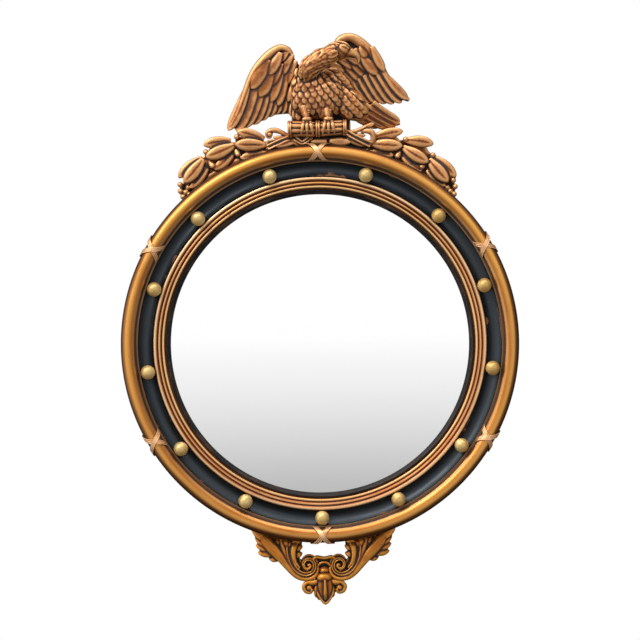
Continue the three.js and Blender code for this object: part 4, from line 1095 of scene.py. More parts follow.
def raise_shoulder(piece, side):
    """Lifts the top of a wing and spreads its outer edge, fading out towards the body and the tips."""
    mesh = piece.data
    points = corners_of(mesh)
    x, z = side * points[:, 0] / MM, points[:, 2] / MM
    spread = ease(280, 335, z) * np.clip((x - 32) / 42, 0, 1.1)
    points[:, 0] += side * MM * SHOULDER_SPREAD * spread
    points[:, 2] += MM * SHOULDER_RISE * ease(8, 28, x) * ease(296, 358, z)
    mesh.vertices.foreach_set("co", points.ravel())
    mesh.update()
    return piece


def wing(name, outline, edge, edge_widths, primaries, coverts, small, side):
    """A carved wing. Feathers are (foot, tip, half width, bow), each row a little deeper than the last."""
    shells = [plate(outline, CARVED_BACK, GROUND), moulding(edge, edge_widths, PLAIN, 4.2, 8, 44)]
    for i, (foot, tip, half, bow) in enumerate(primaries):
        depth = 17.6 - 0.42 * i
        shape = {"base": 0.3 if i == 0 else 0.7, "widest": 0.66, "point": 2.8, "lean": 1.7 * side, "steps": 24}
        shells.append(leaf((*foot, depth + 1.0), (*tip, max(depth - 2.4, 10.5)), half, 2.4, 7.5, bow, 1.0, **shape))
    shape = {"base": 0.5, "widest": 0.6, "lean": 0.6 * side, "steps": 22}
    for i, (foot, tip, half, bow) in enumerate(coverts):
        step = 0.55 * i
        shells.append(leaf((*foot, 20.6 - step), (*tip, 20.0 - step), half, 3.0, 8.0, bow, 0.8, **shape))
    shape = {"base": 0.6, "widest": 0.6, "lean": 0.6 * side, "steps": 18}
    for i, (foot, tip, half) in enumerate(small):
        step = 0.3 * i
        shells.append(leaf((*foot, 19.4 - step), (*tip, 18.4 - step), half, 2.6, 8.0, 0.0, 0.8, **shape))
    return raise_shoulder(carve(name, shells, 0.75, carved_gilt), side)


# %% The two wings
left_outline = [
    (-14, 292), (-14, 345), (-29, 364), (-33, 377), (-44, 381), (-57, 375), (-71, 361), (-84, 342), (-95, 318),
    (-107, 294), (-114, 281), (-96, 284), (-74, 291), (-52, 296), (-38, 297),
]
wing_left = wing(
    "wing_raised_left", left_outline,
    [
        (-30.5, 360, 15.5), (-34.5, 371, 17.5), (-44, 376, 18.6), (-54.5, 371, 18.8), (-66.5, 359, 18.4),
        (-79.5, 341, 17.6), (-90.5, 319, 16.6), (-101, 298, 15.6), (-111, 282, 14),
    ],
    (3.0, 4.6, 5.8, 6.4, 6.0, 5.0, 4.4, 4.0, 2.8),
    [
        ((-82, 338), (-115.0, 275.5), 7.0, -2.5), ((-75, 334), (-104.5, 274.5), 8.4, -2.5),
        ((-68, 329), (-94, 279), 8.2, -2), ((-62, 327), (-82.5, 283), 8.0, -2),
        ((-56, 328), (-72, 288), 7.6, -1.5), ((-50, 328), (-62, 292.5), 7.0, -1),
        ((-45, 328), (-53, 296), 6.4, -1), ((-40, 328), (-45, 296), 6.0, 0), ((-34, 326), (-37, 296), 5.4, 0),
    ],
    [
        ((-45.5, 370), (-61.5, 341.5), 7.0, -3), ((-60, 361), (-82, 326.5), 9.0, -2),
        ((-54, 350), (-72.5, 317.5), 8.6, -2), ((-44.5, 356), (-59.5, 328), 6.6, -1.5),
        ((-44, 345), (-58.5, 311), 6.6, -1.5), ((-38, 344), (-49.5, 306), 5.8, -1),
    ],
    [
        ((-36, 372), (-46, 358), 4.4), ((-30, 368), (-41, 350), 4.6), ((-33, 360), (-45, 341), 4.8),
        ((-26, 360), (-36, 340), 4.6), ((-29, 350), (-40, 330), 4.8), ((-24, 344), (-33, 322), 4.8),
        ((-28, 334), (-37, 311), 4.8), ((-24, 326), (-31, 303), 4.8),
    ],
    side=-1,
)
stand_for(wing_left, "crest_gilt", "wing_left")

right_outline = [
    (-2, 297), (-2, 345), (14, 361), (26, 383), (36, 391), (48, 390), (61, 380), (75, 363), (88, 340), (102, 320),
    (115, 312.5), (96, 310), (76, 310), (58, 301),
]
wing_right = wing(
    "wing_raised_right", right_outline,
    [
        (23, 376, 17), (31, 386, 19.5), (43, 388.5, 20), (54, 383, 19.6), (65.5, 371.5, 18.8), (75.5, 357.5, 17.8),
        (86, 339, 16.6), (99.5, 320.5, 15.2), (117.5, 311.6, 12.5),
    ],
    (3.6, 5.2, 6.0, 6.4, 6.0, 5.2, 4.6, 3.8, 2.2),
    [
        ((82, 346), (116, 312.0), 5.6, 3.5), ((76, 345), (108, 308.0), 6.4, 3.5), ((69, 343), (98, 307.0), 6.8, 3),
        ((62, 341), (88, 307.5), 6.8, 2.5), ((55, 338), (78, 308), 6.8, 2), ((47, 336), (69, 309), 6.6, 1.5),
        ((40, 334), (60, 310), 6.4, 1),
    ],
    [((70, 376), (85, 344.5), 5.8, 2.5), ((57, 379), (63, 361), 6.2, 1.5), ((57, 365), (76, 341.0), 7.2, 1.5)],
    [
        ((49, 374), (56, 361), 4.6), ((36, 368), (55, 353), 4.8), ((27, 364), (47, 348), 4.8),
        ((18, 358), (38, 342), 4.8), ((46, 363), (68, 343), 5.2), ((40, 360), (62, 338), 5.4),
        ((34, 356), (56, 333), 5.4), ((28, 352), (50, 330), 5.4), ((23, 347), (44, 326), 5.4),
        ((60, 352), (77, 332), 5.2), ((52, 346), (71, 325), 5.4), ((45, 340), (64, 320), 5.4),
        ((36, 336), (56, 315), 5.4),
    ],
    side=1,
)
stand_for(wing_right, "crest_gilt", "wing_right")

# %% [markdown]
# ### The tail
# Five narrow feathers slant out behind the body and close to a blunt fan.

# %% Tail
tail_outline = [(44, 299), (70, 306), (84, 303), (104, 284), (100, 277), (86, 277.5), (60, 283), (44, 290)]
shells = [plate(tail_outline, CARVED_BACK, GROUND)]
tail_feathers = [
    ((72, 309), (107, 284.5), 4.8, 2.5), ((62, 306), (107.5, 280.5), 4.8, 3.5), ((58, 301), (101, 277.5), 4.8, 4),
    ((52, 297), (92, 276), 4.8, 4), ((47, 292), (80, 278), 4.8, 3),
]
for i, (foot, tip, half, bow) in enumerate(tail_feathers):
    shape = {"lean": -0.7, "base": 0.8, "widest": 0.7, "point": 2.6, "steps": 20}
    shells.append(leaf((*foot, 21 - 0.6 * i), (*tip, 15.5 - 0.5 * i), half, 2.3, 8.0, bow, 1.0, VANE, **shape))
tail = carve("tail_fan", shells, 0.7, carved_gilt)
stand_for(tail, "crest_gilt", "eagle_tail")

# %% [markdown]
# ### The body
# The bird is modelled in two steps. A plain body, neck and head give the big forms. Then rows of feathers
# are laid on it: for each one, rays are shot from the front onto the plain body to find where its foot,
# middle and tip lie, so the rows wrap round the breast like scales.

# %% Plain body, neck and head
body_forms = [
    lump((1, 315, 27), (35, 28, 16)),
    lump((36, 309, 23), (35, 18.5, 11.5), lean=-32),
    lump((-8, 330, 27), (25, 22, 15)),
    lump((25, 335, 20), (25, 17, 9.5), lean=-30),
]
neck_line = [(-15, 335, 31), (-10, 350, 38), (4, 362, 41.5), (20, 369.5, 41.5), (36, 374, 40)]
neck_form = stick(neck_line, tapered(9.5, 13.8, 13.6, 11.6, 9.8), 30, 20, 0.86)
body_forms.append(neck_form)
head_forms = [
    lump((34, 375.2, 41), (11.6, 9.2, 9.0), lean=-10),
    lump((24, 376.8, 41), (11, 7.4, 8.2), lean=14),
    stick(
        [(38, 372.5, 42), (46.5, 370.6, 42.6), (52.8, 366.6, 42.6), (54.6, 360.6, 42.2), (52.6, 357.2, 42)],
        tapered(7.4, 5.9, 4.3, 2.2, 0.5), 22, 14, 0.8,
    ),
    stick([(38, 367.4, 41.5), (45, 364.6, 41.6), (49.6, 362.2, 41.6)], tapered(4.6, 2.8, 1.2), 12, 10, 0.8),
    stick([(30.5, 380.4, 47.6), (36.5, 379.2, 48.6), (42.4, 375.4, 48.2)], tapered(0.8, 2.0, 0.8), 12, 8),
    lump((38.2, 374.6, 48.0), (2.2, 1.8, 1.5)),
    leaf((40, 379.4, 43.5), (22.0, 384.6, 42.0), 3.6, 1.6, 4, 1.5, 0.8, base=0.15),
    leaf((37, 377.6, 46.0), (15.0, 381.4, 44.6), 3.8, 1.6, 4, 1.5, 0.8, base=0.15),
    leaf((34, 373.4, 48.0), (13.5, 375.2, 47.0), 3.8, 1.5, 4, 0.8, 1.2, base=0.1),
    leaf((33, 368.8, 47.5), (13.0, 367.4, 47.4), 3.8, 1.5, 4, 0.0, 1.4, base=0.1),
    stick(
        [(27.5, 384.0, 41), (33.5, 384.3, 43), (40, 381.0, 44), (43.5, 376.6, 44)],
        tapered(1.0, 1.9, 1.9, 0.8), 16, 10,
    ),
]

IN_FRONT = 200  # mm off the wall, from where the rays are shot


def ray_table(shells):
    """A form that rays can be shot at."""
    verts, faces = gather(shells)
    return BVHTree.FromPolygons([Vector(v) for v in verts.tolist()], faces)


def dropped(table, x, z):
    """Depth and outward direction of the front of a form at a place, or None where there is none."""
    hit, normal, _, _ = table.ray_cast(Vector((x, z, IN_FRONT)), Vector((0, 0, -1)))
    if hit is None:
        return None
    normal = np.array(normal if normal.z > 0 else -normal)
    return hit.z, unit(normal + np.array((0, 0, 0.35)))


def laid(table, foot, tip, half, lift=(0.0, 1.5), rise=1.5, kind=BLADE, bow=0.0, **more):
    """A feather that follows a form from its foot to its tip, or nothing where the form ends."""
    foot, tip = np.array(foot, float), np.array(tip, float)
    side = np.array(((tip - foot)[1], -(tip - foot)[0]))
    path, ups = [], []
    for u in np.linspace(0, 1, 9):
        x, z = foot + (tip - foot) * u + side * (bow * 4 * u * (1 - u))
        seat = dropped(table, x, z)
        if seat is None:
            return []
        path.append(np.array((x, z, seat[0])) + seat[1] * (lift[0] + (lift[1] - lift[0]) * u))
        ups.append(seat[1])
    path = np.asarray(path)
    path[:, 2] = np.convolve(np.pad(path[:, 2], 1, "edge"), (0.25, 0.5, 0.25), "valid")
    return [leaf_on(path, half, rise, 2.6, kind, up=np.asarray(ups), **more)]


# %% [markdown]
# The rows on the breast are arcs round one point by the throat, from which all the feathers seem to flow.
# Their angle, width and lean are a little uneven, as a chisel leaves them. The flank feathers under the left
# wing and the short ones above the legs are listed one by one, and the hackles follow the line of the neck.

# %% Lay the rows of feathers
FLOW = (-12.0, 378.0)  # the point that the rows go round
ROW_FIRST, ROW_LAST, ROW_STEP = 38, 132, 6.6

bare = ray_table(body_forms[:4])
feathers = []
rng = random.Random(7)
for row, r in enumerate(np.arange(ROW_FIRST, ROW_LAST, ROW_STEP)):
    growth = (r - ROW_FIRST) / (ROW_LAST - ROW_FIRST)
    half = 3.9 + 1.3 * growth
    gap = math.degrees(half * 1.75 / r)
    for k in range(-14, 24):
        angle = (k + 0.5 * (row % 2)) * gap
        if not -36 < angle < 66:
            continue
        angle += rng.uniform(-0.12, 0.12) * gap
        a = math.radians(angle)
        length = 13 + 4.5 * growth
        foot = (FLOW[0] + r * math.sin(a), FLOW[1] - r * math.cos(a))
        fan = a * 1.12 + 0.10
        tip = (foot[0] + length * math.sin(fan), foot[1] - length * math.cos(fan))
        wide = half * rng.uniform(0.94, 1.06)
        lean = rng.uniform(-0.25, 0.25)
        feathers += laid(bare, foot, tip, wide, (0.1, 1.7), 1.3, lean=lean, base=0.75, widest=0.6)
for x, z, low in ((-31, 309, 22), (-27, 305, 24), (-22.5, 303, 26)):
    feathers.append(leaf((x, z, low), (x - 1.5, z - 17, low - 1), 4.2, 2.2, 6, 0.5, 0.8, base=0.7))
for x in (-20, -16, -12, 8, 12, 16, 20):
    feathers += laid(bare, (x, 303), (x * 0.96 - 0.5, 290.5), 2.9, (0.6, 2.2), 1.6, base=0.8)
print("feathers laid on the body:", len(feathers))

# %% Hackles on the neck, and the body in one skin
neck_table = ray_table([neck_form] + head_forms[:2])
line = smooth_line(neck_line, 60)
hackles = []
hackle = {"base": 0.5, "widest": 0.55, "point": 1.7}
for row, u in enumerate(np.linspace(0.86, 0.08, 9)):
    here = line[int(u * 59)]
    ahead = unit(line[max(int(u * 59) - 6, 0)] - here)
    side = np.array((ahead[1], -ahead[0]))
    span = float(np.interp(u, (0, 0.3, 1), (7.5, 10.6, 7.8)))
    for k in range(-3, 4):
        offset = (k + 0.5 * (row % 2)) * span / 3
        if abs(offset) > span * 1.02:
            continue
        foot = here[:2] + side * offset + ahead[:2] * rng.uniform(-2.2, 2.2)
        tip = foot + ahead[:2] * (17 if u < 0.75 else 14) + side * offset * 0.10
        wide, lean = 4.0 if u < 0.75 else 3.5, rng.uniform(-0.5, 0.5)
        hackles += laid(neck_table, foot, tip, wide, (0.2, 1.9), 1.2, lean=lean, **hackle)
throat = (
    (-21, 345, -1.5, -13), (-16.5, 344, -0.5, -15), (-12, 343, 1.5, -14), (-7, 345, 3, -11), (-24.5, 352, -2, -11),
)
for x, z, dx, dz in throat:
    hackles.append(leaf((x, z, 39), (x + dx, z + dz, 41), 3.0, 1.6, 5, 0, 1.0, base=0.7, widest=0.5, point=1.7))
print("hackles on the neck:", len(hackles))
body = carve("eagle_carved", body_forms + head_forms + feathers + hackles, 0.7, carved_gilt)
stand_for(body, "crest_gilt", "eagle_body")

# %% [markdown]
# ### The perch and the feet
# The eagle grips a bundle of rods tied with bands. Each rod runs the whole length and swells a little
# between the ties. The feet are carved separately: scaly shanks, three toes over the front of the bundle
# and a claw on each.

# %% Bundle of rods
PERCH_HALF = 38  # mm from its middle to each end
ROD_LINE, ROD_R = 7.2, 3.3

perch_line = smooth_line([(-PERCH_HALF, 275.0, 33), (0, 274.9, 33), (PERCH_HALF, 276.2, 33)], 60)


def perch_at(u):
    """The middle of the bundle, from 0 at its left end to 1 at its right end."""
    return perch_line[int(round(u * 59))]


ties = ((0.03, 2.4), (0.5, 2.8), (0.965, 2.2))  # how far along the bundle, and half the tie's width
shells = [stick(perch_line, tapered(8.0, 7.4, 8.0, 7.2, 7.4), 60, 20)]
for i in range(8):
    a = 2 * math.pi * i / 8 + 0.35
    rod = []
    for u in np.linspace(0.0, 1.0, 40):
        pinch = math.exp(-(((u - 0.5) / 0.05) ** 2))
        r = ROD_LINE * (1 - 0.09 * pinch) * (1 - 0.06 * u)
        rod.append(perch_at(u) + np.array((0, r * math.cos(a), r * math.sin(a))))
    shells.append(stick(rod, lambda u: ROD_R + 0.35 * math.sin(9 * u + i) - 0.3 * u, 40, 12))
for u, wide in ties:
    c = perch_at(u)
    tie = [(6, -1), (10.6, -1), (11.3, -0.6), (10.7, 0), (11.3, 0.6), (10.6, 1), (6, 1)]
    verts, faces = lathe([(r * (1 - 0.05 * u), c[0] + wide * across) for r, across in tie], 40)
    shells.append(([(d, c[1] + z, c[2] + x) for x, z, d in verts], faces))
perch = carve("perch_bundle", shells, 0.6, carved_gilt, 1)
stand_for(perch, "crest_gilt", "perch")

# %% Shanks, toes and claws
CLAW = 0.72  # where along a toe its claw begins


def toe(u):
    """Radius along a toe: three knuckles, then a claw that runs to a point."""
    if u < CLAW:
        return 3.0 * (1 - 0.22 * u) * (1 + 0.16 * math.sin(u * 16))
    return 2.4 * (1 - (u - CLAW) / 0.30) + 0.25


for word, x, hip in (("left", -13.0, (-16.5, 303, 36)), ("right", 14.5, (12.0, 301, 36))):
    ankle = (x, 287.8, 41.0)
    shells = [stick([hip, ((hip[0] + x) / 2, 295, 39), ankle], tapered(6.4, 5.0, 4.2), 16, 14)]
    for i in range(4):
        shells.append(lump((x + 0.3 * i - 0.5, 290 + 2.6 * i, 42.6 - 0.5 * i), (3.4 + 0.3 * i, 1.5, 1.7)))
    for spread in (-1, 0, 1):
        path = []
        for k, a in enumerate(np.radians(np.linspace(74, -42, 9))):
            r = 12.6 + 0.5 * math.sin(k * 1.6)
            c = perch_at((x + PERCH_HALF) / (2 * PERCH_HALF))
            path.append((x + spread * (2.6 + 0.66 * k), c[1] + r * math.sin(a), c[2] + r * math.cos(a)))
        shells.append(stick(path, toe, 40, 12, 1.0, (1, 0, 0)))
    shells.append(lump((x, 287, 42), (6.2, 3.6, 3.6)))
    foot = carve(f"foot_{word}", shells, 0.5, carved_gilt, 1)
    stand_for(foot, "crest_gilt", f"leg_{word}")

# %% [markdown]
# ### The crest base and its ribbons
# The block under the perch is dressed with short leaves and a ribbon that comes from under the bundle,
# lies along the block and ends in a curl on each side.

# %% Base block with leaves and ribbons
def band(points, widths):
    return moulding(points, widths, BAND, 1.8, 3.0, 26)


arc_low = [tuple(polar(250.6, a)[:2]) for a in np.linspace(14.6, -14.6, 9)]
block = arc_low + [(-65.6, 259.6), (-62, 262.2), (-40, 263.4), (40, 263.6), (62, 262.0), (67, 258.0)]
block_left = [(-65.6, 249.3), (-65.6, 261.8), (-58, 262.8), (-30, 263.6), (-30, 254.3), (-50, 251.5)]
shells = [
    plate(block, CARVED_BACK, 26.5),
    plate(block_left, CARVED_BACK, 29.6),
    plate([(-33, 255), (-33, 298), (43, 298), (43, 255)], CARVED_BACK, GROUND),
    band([(-64, 251.8, 30.5), (-52.4, 257.2, 31.5), (-39.5, 262.6, 31), (-30, 264.6, 28)], (4.0, 4.0, 3.8, 3.8)),
    leaf((-30, 258, 30), (-56, 253.6, 30.4), 3.6, 2.4, 5, -1.6, 0.6, base=0.7),
    leaf((-34, 262, 29.5), (-22, 254.5, 29.5), 3.4, 2.4, 5, 0.8, 0.6),
    band(
        [(-31, 266, 29), (-24.5, 260.5, 31.5), (-19.0, 257.4, 32), (-12.5, 261.5, 31.5), (-8, 265.5, 29)],
        (3.4, 3.2, 2.8, 3.2, 3.4),
    ),
    leaf((-10, 264, 29), (-19.5, 259.0, 31.0), 2.6, 2.0, 4),
    plate([(-7.5, 254.6), (-7.0, 262.6), (12.5, 262.8), (12.5, 255.0)], CARVED_BACK, 29.8),
    leaf((12.0, 259.0, 30.0), (-8.5, 258.7, 30.0), 3.8, 2.0, 4, 0.0, 0.5, kind=PLAIN, base=0.8),
    leaf((15.5, 259.4, 29.5), (43.5, 257.6, 30.0), 6.0, 3.8, 5, 0.8, 0.8, base=0.5, widest=0.5, point=1.5),
    leaf((38, 262, 29.5), (62, 252.8, 29.5), 3.8, 2.6, 5, 1.2, 0.6, base=0.7),
    band([(37, 270.5, 30), (48, 264.0, 32), (58, 258.8, 32), (68.5, 254.0, 30.5)], (3.6, 4.0, 4.2, 4.4)),
]
base = carve("crest_block", shells, 0.75, carved_gilt)
stand_for(base, "crest_gilt", "crest_base")

shells = [
    stick(
        [
            (-38, 267.5, 27), (-45, 271.0, 28), (-53, 274.0, 28.5), (-60.5, 273.6, 28.5), (-64.6, 269.6, 28),
            (-62.4, 265.6, 28), (-58.6, 266.2, 29),
        ],
        tapered(2.6, 3.0, 3.4, 3.6, 3.2, 2.6, 1.8), 50, 14, 0.9,
    ),
    lump((-61.0, 269.2, 28), (4.0, 4.2, 3.8)),
    leaf((-40, 265.6, 27), (-57, 265.4, 27.5), 2.8, 2.2, 4, -1.5),
]
curl = carve("ribbon_curl_left", shells, 0.5, carved_gilt, 1)
stand_for(curl, "crest_gilt", "ribbon_tail_left")
shells = [
    stick(
        [(37.5, 271.0, 27), (47, 271.4, 28), (56, 274.2, 28.5), (63.5, 277.6, 28.5), (70.5, 279.6, 28)],
        tapered(2.4, 2.6, 2.8, 3.0, 1.2), 40, 14, 0.85,
    ),
    leaf((60, 276, 28.5), (73.5, 281.5, 28.5), 3.0, 2.2, 4, 0, 0.5, base=0.6),
    stick(
        [(56, 271.5, 28), (64.5, 271.8, 29.5), (70.6, 268.8, 30), (71.6, 262.5, 30), (69.6, 255.6, 29.5)],
        tapered(2.2, 3.6, 4.0, 3.6, 2.6), 40, 14, 0.85,
    ),
    lump((67.0, 271.0, 29.5), (4.2, 3.6, 3.6)),
    leaf((44, 266.5, 27), (62, 266.5, 28), 3.0, 2.2, 4, 1.0),
]
curl = carve("ribbon_curl_right", shells, 0.5, carved_gilt, 1)
stand_for(curl, "crest_gilt", "ribbon_tail_right")

# %% [markdown]
# ### The laurel
# Each spray has three clusters of three leaves along a hidden stem, with buds and berries between them
# and a bunch of berries at the end. Every leaf was cut with two grooves and undercut, so its edge throws a
# dark line on the leaf below.

# %% Two sprays of laurel
LAUREL_GROUND = [
    (66, 246), (66, 261), (84, 268), (100, 268), (106, 261), (116, 261), (138, 256), (144, 245), (156, 236),
    (172, 215), (176, 204), (177, 192), (168, 190), (152, 207), (139, 222), (128, 226), (112, 241), (96, 240),
]


def spray(side, word, clusters, buds, berries):
    """One spray. A cluster has three leaves, the middle one on top; a bud has its reach towards the ring."""
    stem = [polar(258.5, side * a, 15.5) for a in np.linspace(14.6, 38.8, 14)]
    shells = [stick(stem, tapered(5.5, 5.0, 4.6, 3.8), 50, 12, 1.3)]
    shells.append(plate([(side * x, z) for x, z in LAUREL_GROUND], CARVED_BACK, 15.0))
    for leaves in clusters:
        for (foot, tip, half, bow), (low, high) in zip(leaves, ((24.5, 28.5), (21.5, 24.5), (21.0, 24.0))):
            shape = {"base": 0.42, "widest": 0.55, "point": 2.0, "steps": 24}
            shells.append(leaf((*foot, low), (*tip, high), half + 0.7, 3.0, 5.5, bow, 2.2, LAUREL, **shape))
        knot = np.mean([foot for foot, _, _, _ in leaves], axis=0)
        inner = knot * (259.5 / np.linalg.norm(knot))
        twig = [(*inner, 15), (*((inner + knot) / 2), 19), (*knot, 22)]
        shells.append(stick(twig, tapered(5.0, 4.6, 3.8), 12, 10))
    for x, z, reach in buds:
        here = np.array((x, z))
        inward = -here / math.hypot(x, z)
        shape = {"base": 0.45, "widest": 0.6, "point": 2.6}
        foot, tip = here - inward * 2.5, here + inward * reach
        shells.append(leaf((*foot, 22.0), (*tip, 25.5), 4.0, 3.2, 3.0, 0, 1.2, PLAIN, **shape))
        shells.append(lump((*(here + inward * reach * 0.7), 25.5), (3.3, 3.3, 3.0)))
    for x, z in berries:
        shells.append(lump((x, z, 22.0), (3.7, 3.7, 3.7), sides=18))
        shells.append(stick([(x, z, 20), (x * 0.985, z * 0.985, 12)], tapered(2.6, 3.4), 8, 10))
    return carve(f"laurel_spray_{word}", shells, 0.8, carved_gilt)


laurel_left = spray(
    -1, "left",
    [
        [
            ((-66, 256), (-106, 257.0), 7.6, -1.0), ((-68, 264), (-103.5, 273.5), 6.4, 2.0),
            ((-64, 246.0), (-99.5, 239.6), 6.6, -1.0),
        ],
        [
            ((-107, 256), (-143.6, 241.2), 7.8, -2.0), ((-111, 262), (-146.5, 256.2), 6.8, 3.0),
            ((-107, 248.5), (-132.5, 224.6), 6.6, -1.5),
        ],
        [
            ((-147, 239), (-172.4, 208.6), 7.8, -2.5), ((-148, 241), (-179.0, 214.5), 6.2, 4.5),
            ((-141, 230), (-163.5, 201.2), 6.0, -1.5),
        ],
    ],
    [(-104.5, 249.5, 8.5), (-138.0, 234.5, 8.5)],
    [
        (-177.2, 206.5), (-166.7, 202.9), (-169.7, 196.6), (-176.9, 198), (-173.8, 190.8), (-143.6, 248),
        (-103.8, 266.9), (-165.5, 193.5),
    ],
)
stand_for(laurel_left, "crest_gilt", "laurel_left")
laurel_right = spray(
    1, "right",
    [
        [
            ((69, 255.6), (109.5, 252.4), 7.4, 1.0), ((72, 264), (110.5, 271.4), 6.4, -2.0),
            ((66, 246.0), (98.0, 240.5), 6.0, 1.0),
        ],
        [
            ((110, 251), (142.4, 230.8), 7.6, 2.0), ((113, 259.5), (149.5, 254.0), 6.8, -3.0),
            ((108, 241), (134.0, 219.0), 6.4, 1.5),
        ],
        [
            ((143, 235), (167.6, 204.9), 7.8, 2.0), ((148, 238), (177.6, 211.0), 6.4, -4.0),
            ((140, 221), (163.5, 199.6), 5.6, 1.0),
        ],
    ],
    [(104.8, 244.0, 8.0), (136.5, 229.5, 7.5)],
    [
        (174.2, 207.5), (176.4, 199.4), (166.4, 198.0), (170.0, 193.4), (175.0, 189.6), (148.4, 240.3),
        (113.6, 261.0), (166.0, 191.0),
    ],
)
stand_for(laurel_right, "crest_gilt", "laurel_right")

# %% [markdown]
# ### The apron
# Below the ring two acanthus leaves run down from the bead, gather into one stem and roll up into
# volutes. The volute is a spiral band with a raised border round a button. A husk with a drooping centre
# leaf closes the point between them. One leaf is drawn; the other is its mirror image.

# %% Acanthus leaves
EYE = (-17.7, -285.3)  # middle of the left volute
MIDDLE = 1.3  # the apron's own middle line lies this far to the right of the ring's


def turn_over(points):
    """The mirror image of the points about the apron's middle line."""
    return [(2 * MIDDLE - p[0], p[1], *p[2:]) for p in points]


def acanthus(word, flip):
    side = turn_over if flip else (lambda points: points)
    sign = -1 if flip else 1
    strands = [
        (
            [
                (-82, -243.5, 17), (-70, -257, 20.5), (-57, -271.5, 22.5), (-46, -285.5, 22.5), (-36, -297, 22),
                (-26, -302.4, 21), (-15.5, -302.2, 20.5), (-9, -297, 20), (-6.6, -288, 19.5),
            ],
            (4.5, 7.5, 7.2, 5.8, 4.6, 3.8, 3.2, 2.8, 2.2),
        ),
        (
            [(-67, -249, 17), (-57, -262, 19.5), (-48.5, -275, 21), (-41, -287, 21), (-33, -296, 20)],
            (3.4, 3.8, 3.4, 3.0, 2.0),
        ),
        (
            [(-54, -251, 17), (-51, -264, 20), (-46.8, -277, 21.5), (-40, -289, 21.5), (-31, -297, 20.5)],
            (3.8, 3.8, 3.4, 2.8, 1.8),
        ),
        (
            [(-32.5, -254, 17), (-36.6, -262, 21), (-37.6, -272, 22.5), (-35, -281.5, 22), (-29.5, -288.5, 21)],
            (4.0, 3.8, 3.2, 2.6, 1.6),
        ),
    ]
    lobes = [
        ((-70, -257), (-91.5, -238.0), 5.6, 1.5), ((-70, -262), (-87, -248.5), 5.2, 1.0),
        ((-68, -266), (-86, -258.5), 5.0, 0.5), ((-64, -271), (-83.5, -268.0), 4.8, -1.0),
        ((-57, -277), (-69, -275.5), 4.4, -1.0), ((-38, -257), (-25.8, -252.0), 4.6, -1.4),
        ((-37, -266), (-26.0, -261.0), 4.6, -1.4), ((-36, -274.5), (-26.5, -270.0), 4.2, -1.2),
        ((-58, -262), (-61, -247.5), 4.6, 0.0), ((-47, -262), (-47.0, -248.5), 4.4, 0.0),
        ((-43, -264), (-40.0, -249.5), 4.0, 0.0),
    ]
    turn = np.linspace(0, 2 * math.pi, 36, endpoint=False)
    disc = [(EYE[0] + 11.5 * math.cos(a), EYE[1] + 13.5 * math.sin(a)) for a in turn]
    leaf_ground = [
        (-26, -251), (-44, -248), (-64, -246), (-86, -236.5), (-89, -240), (-84, -254), (-79, -267), (-62, -276),
        (-50, -288), (-38, -299), (-22, -303), (-14, -298), (-26, -284), (-33, -270), (-27, -262),
    ]
    shells = [plate(side(leaf_ground), CARVED_BACK, 15.5), plate(side(disc), CARVED_BACK, 14.0)]
    for points, widths in strands:
        shells.append(moulding(side(points), widths, PLAIN, 2.6, 6, 34, foot=0.9))
    for foot, tip, half, bow in lobes:
        (fx, fz), (tx, tz) = side([foot, tip])
        shape = {"base": 0.6, "widest": 0.5, "point": 1.8, "steps": 20}
        shells.append(leaf((fx, fz, 18.5), (tx, tz, 14.5), half, 3.0, 5.0, bow * sign, 2.4, **shape))
    roll = [
        (-43, -256, 18), (-43.4, -266, 20.5), (-41.6, -277, 22), (-37, -287, 22.5), (-30, -294, 22.5),
        (-21.5, -296.6, 22.5), (-13.8, -293.6, 23), (-10.6, -286.5, 23.5), (-13.0, -279.4, 24),
        (-19.4, -277.0, 24.5), (-24.4, -280.6, 25), (-24.2, -286.6, 25.5), (-19.6, -289.4, 25.5),
        (-15.6, -286.4, 25.5), (-17.4, -282.6, 25.5),
    ]
    widths = (3.6, 3.8, 3.6, 3.4, 3.2, 3.0, 2.8, 2.6, 2.5, 2.3, 2.1, 1.9, 1.7, 1.4, 1.0)
    shells.append(moulding(side(roll), widths, BAND, 2.0, 5, 90))
    shells.append(lump((*side([(-18.2, -284.6)])[0], 24.5), (2.2, 2.2, 2.6)))
    return carve(f"acanthus_leaf_{word}", shells, 0.7, apron_gilt)


for word, flip in (("left", False), ("right", True)):
    stand_for(acanthus(word, flip), "crest_gilt", f"acanthus_{word}")

# %% [markdown]
# The husk closes the point: a crown of small lobes, a niche with a swelling bud, the drooping leaf with its
# rib, and on each side a curl and two side leaves.

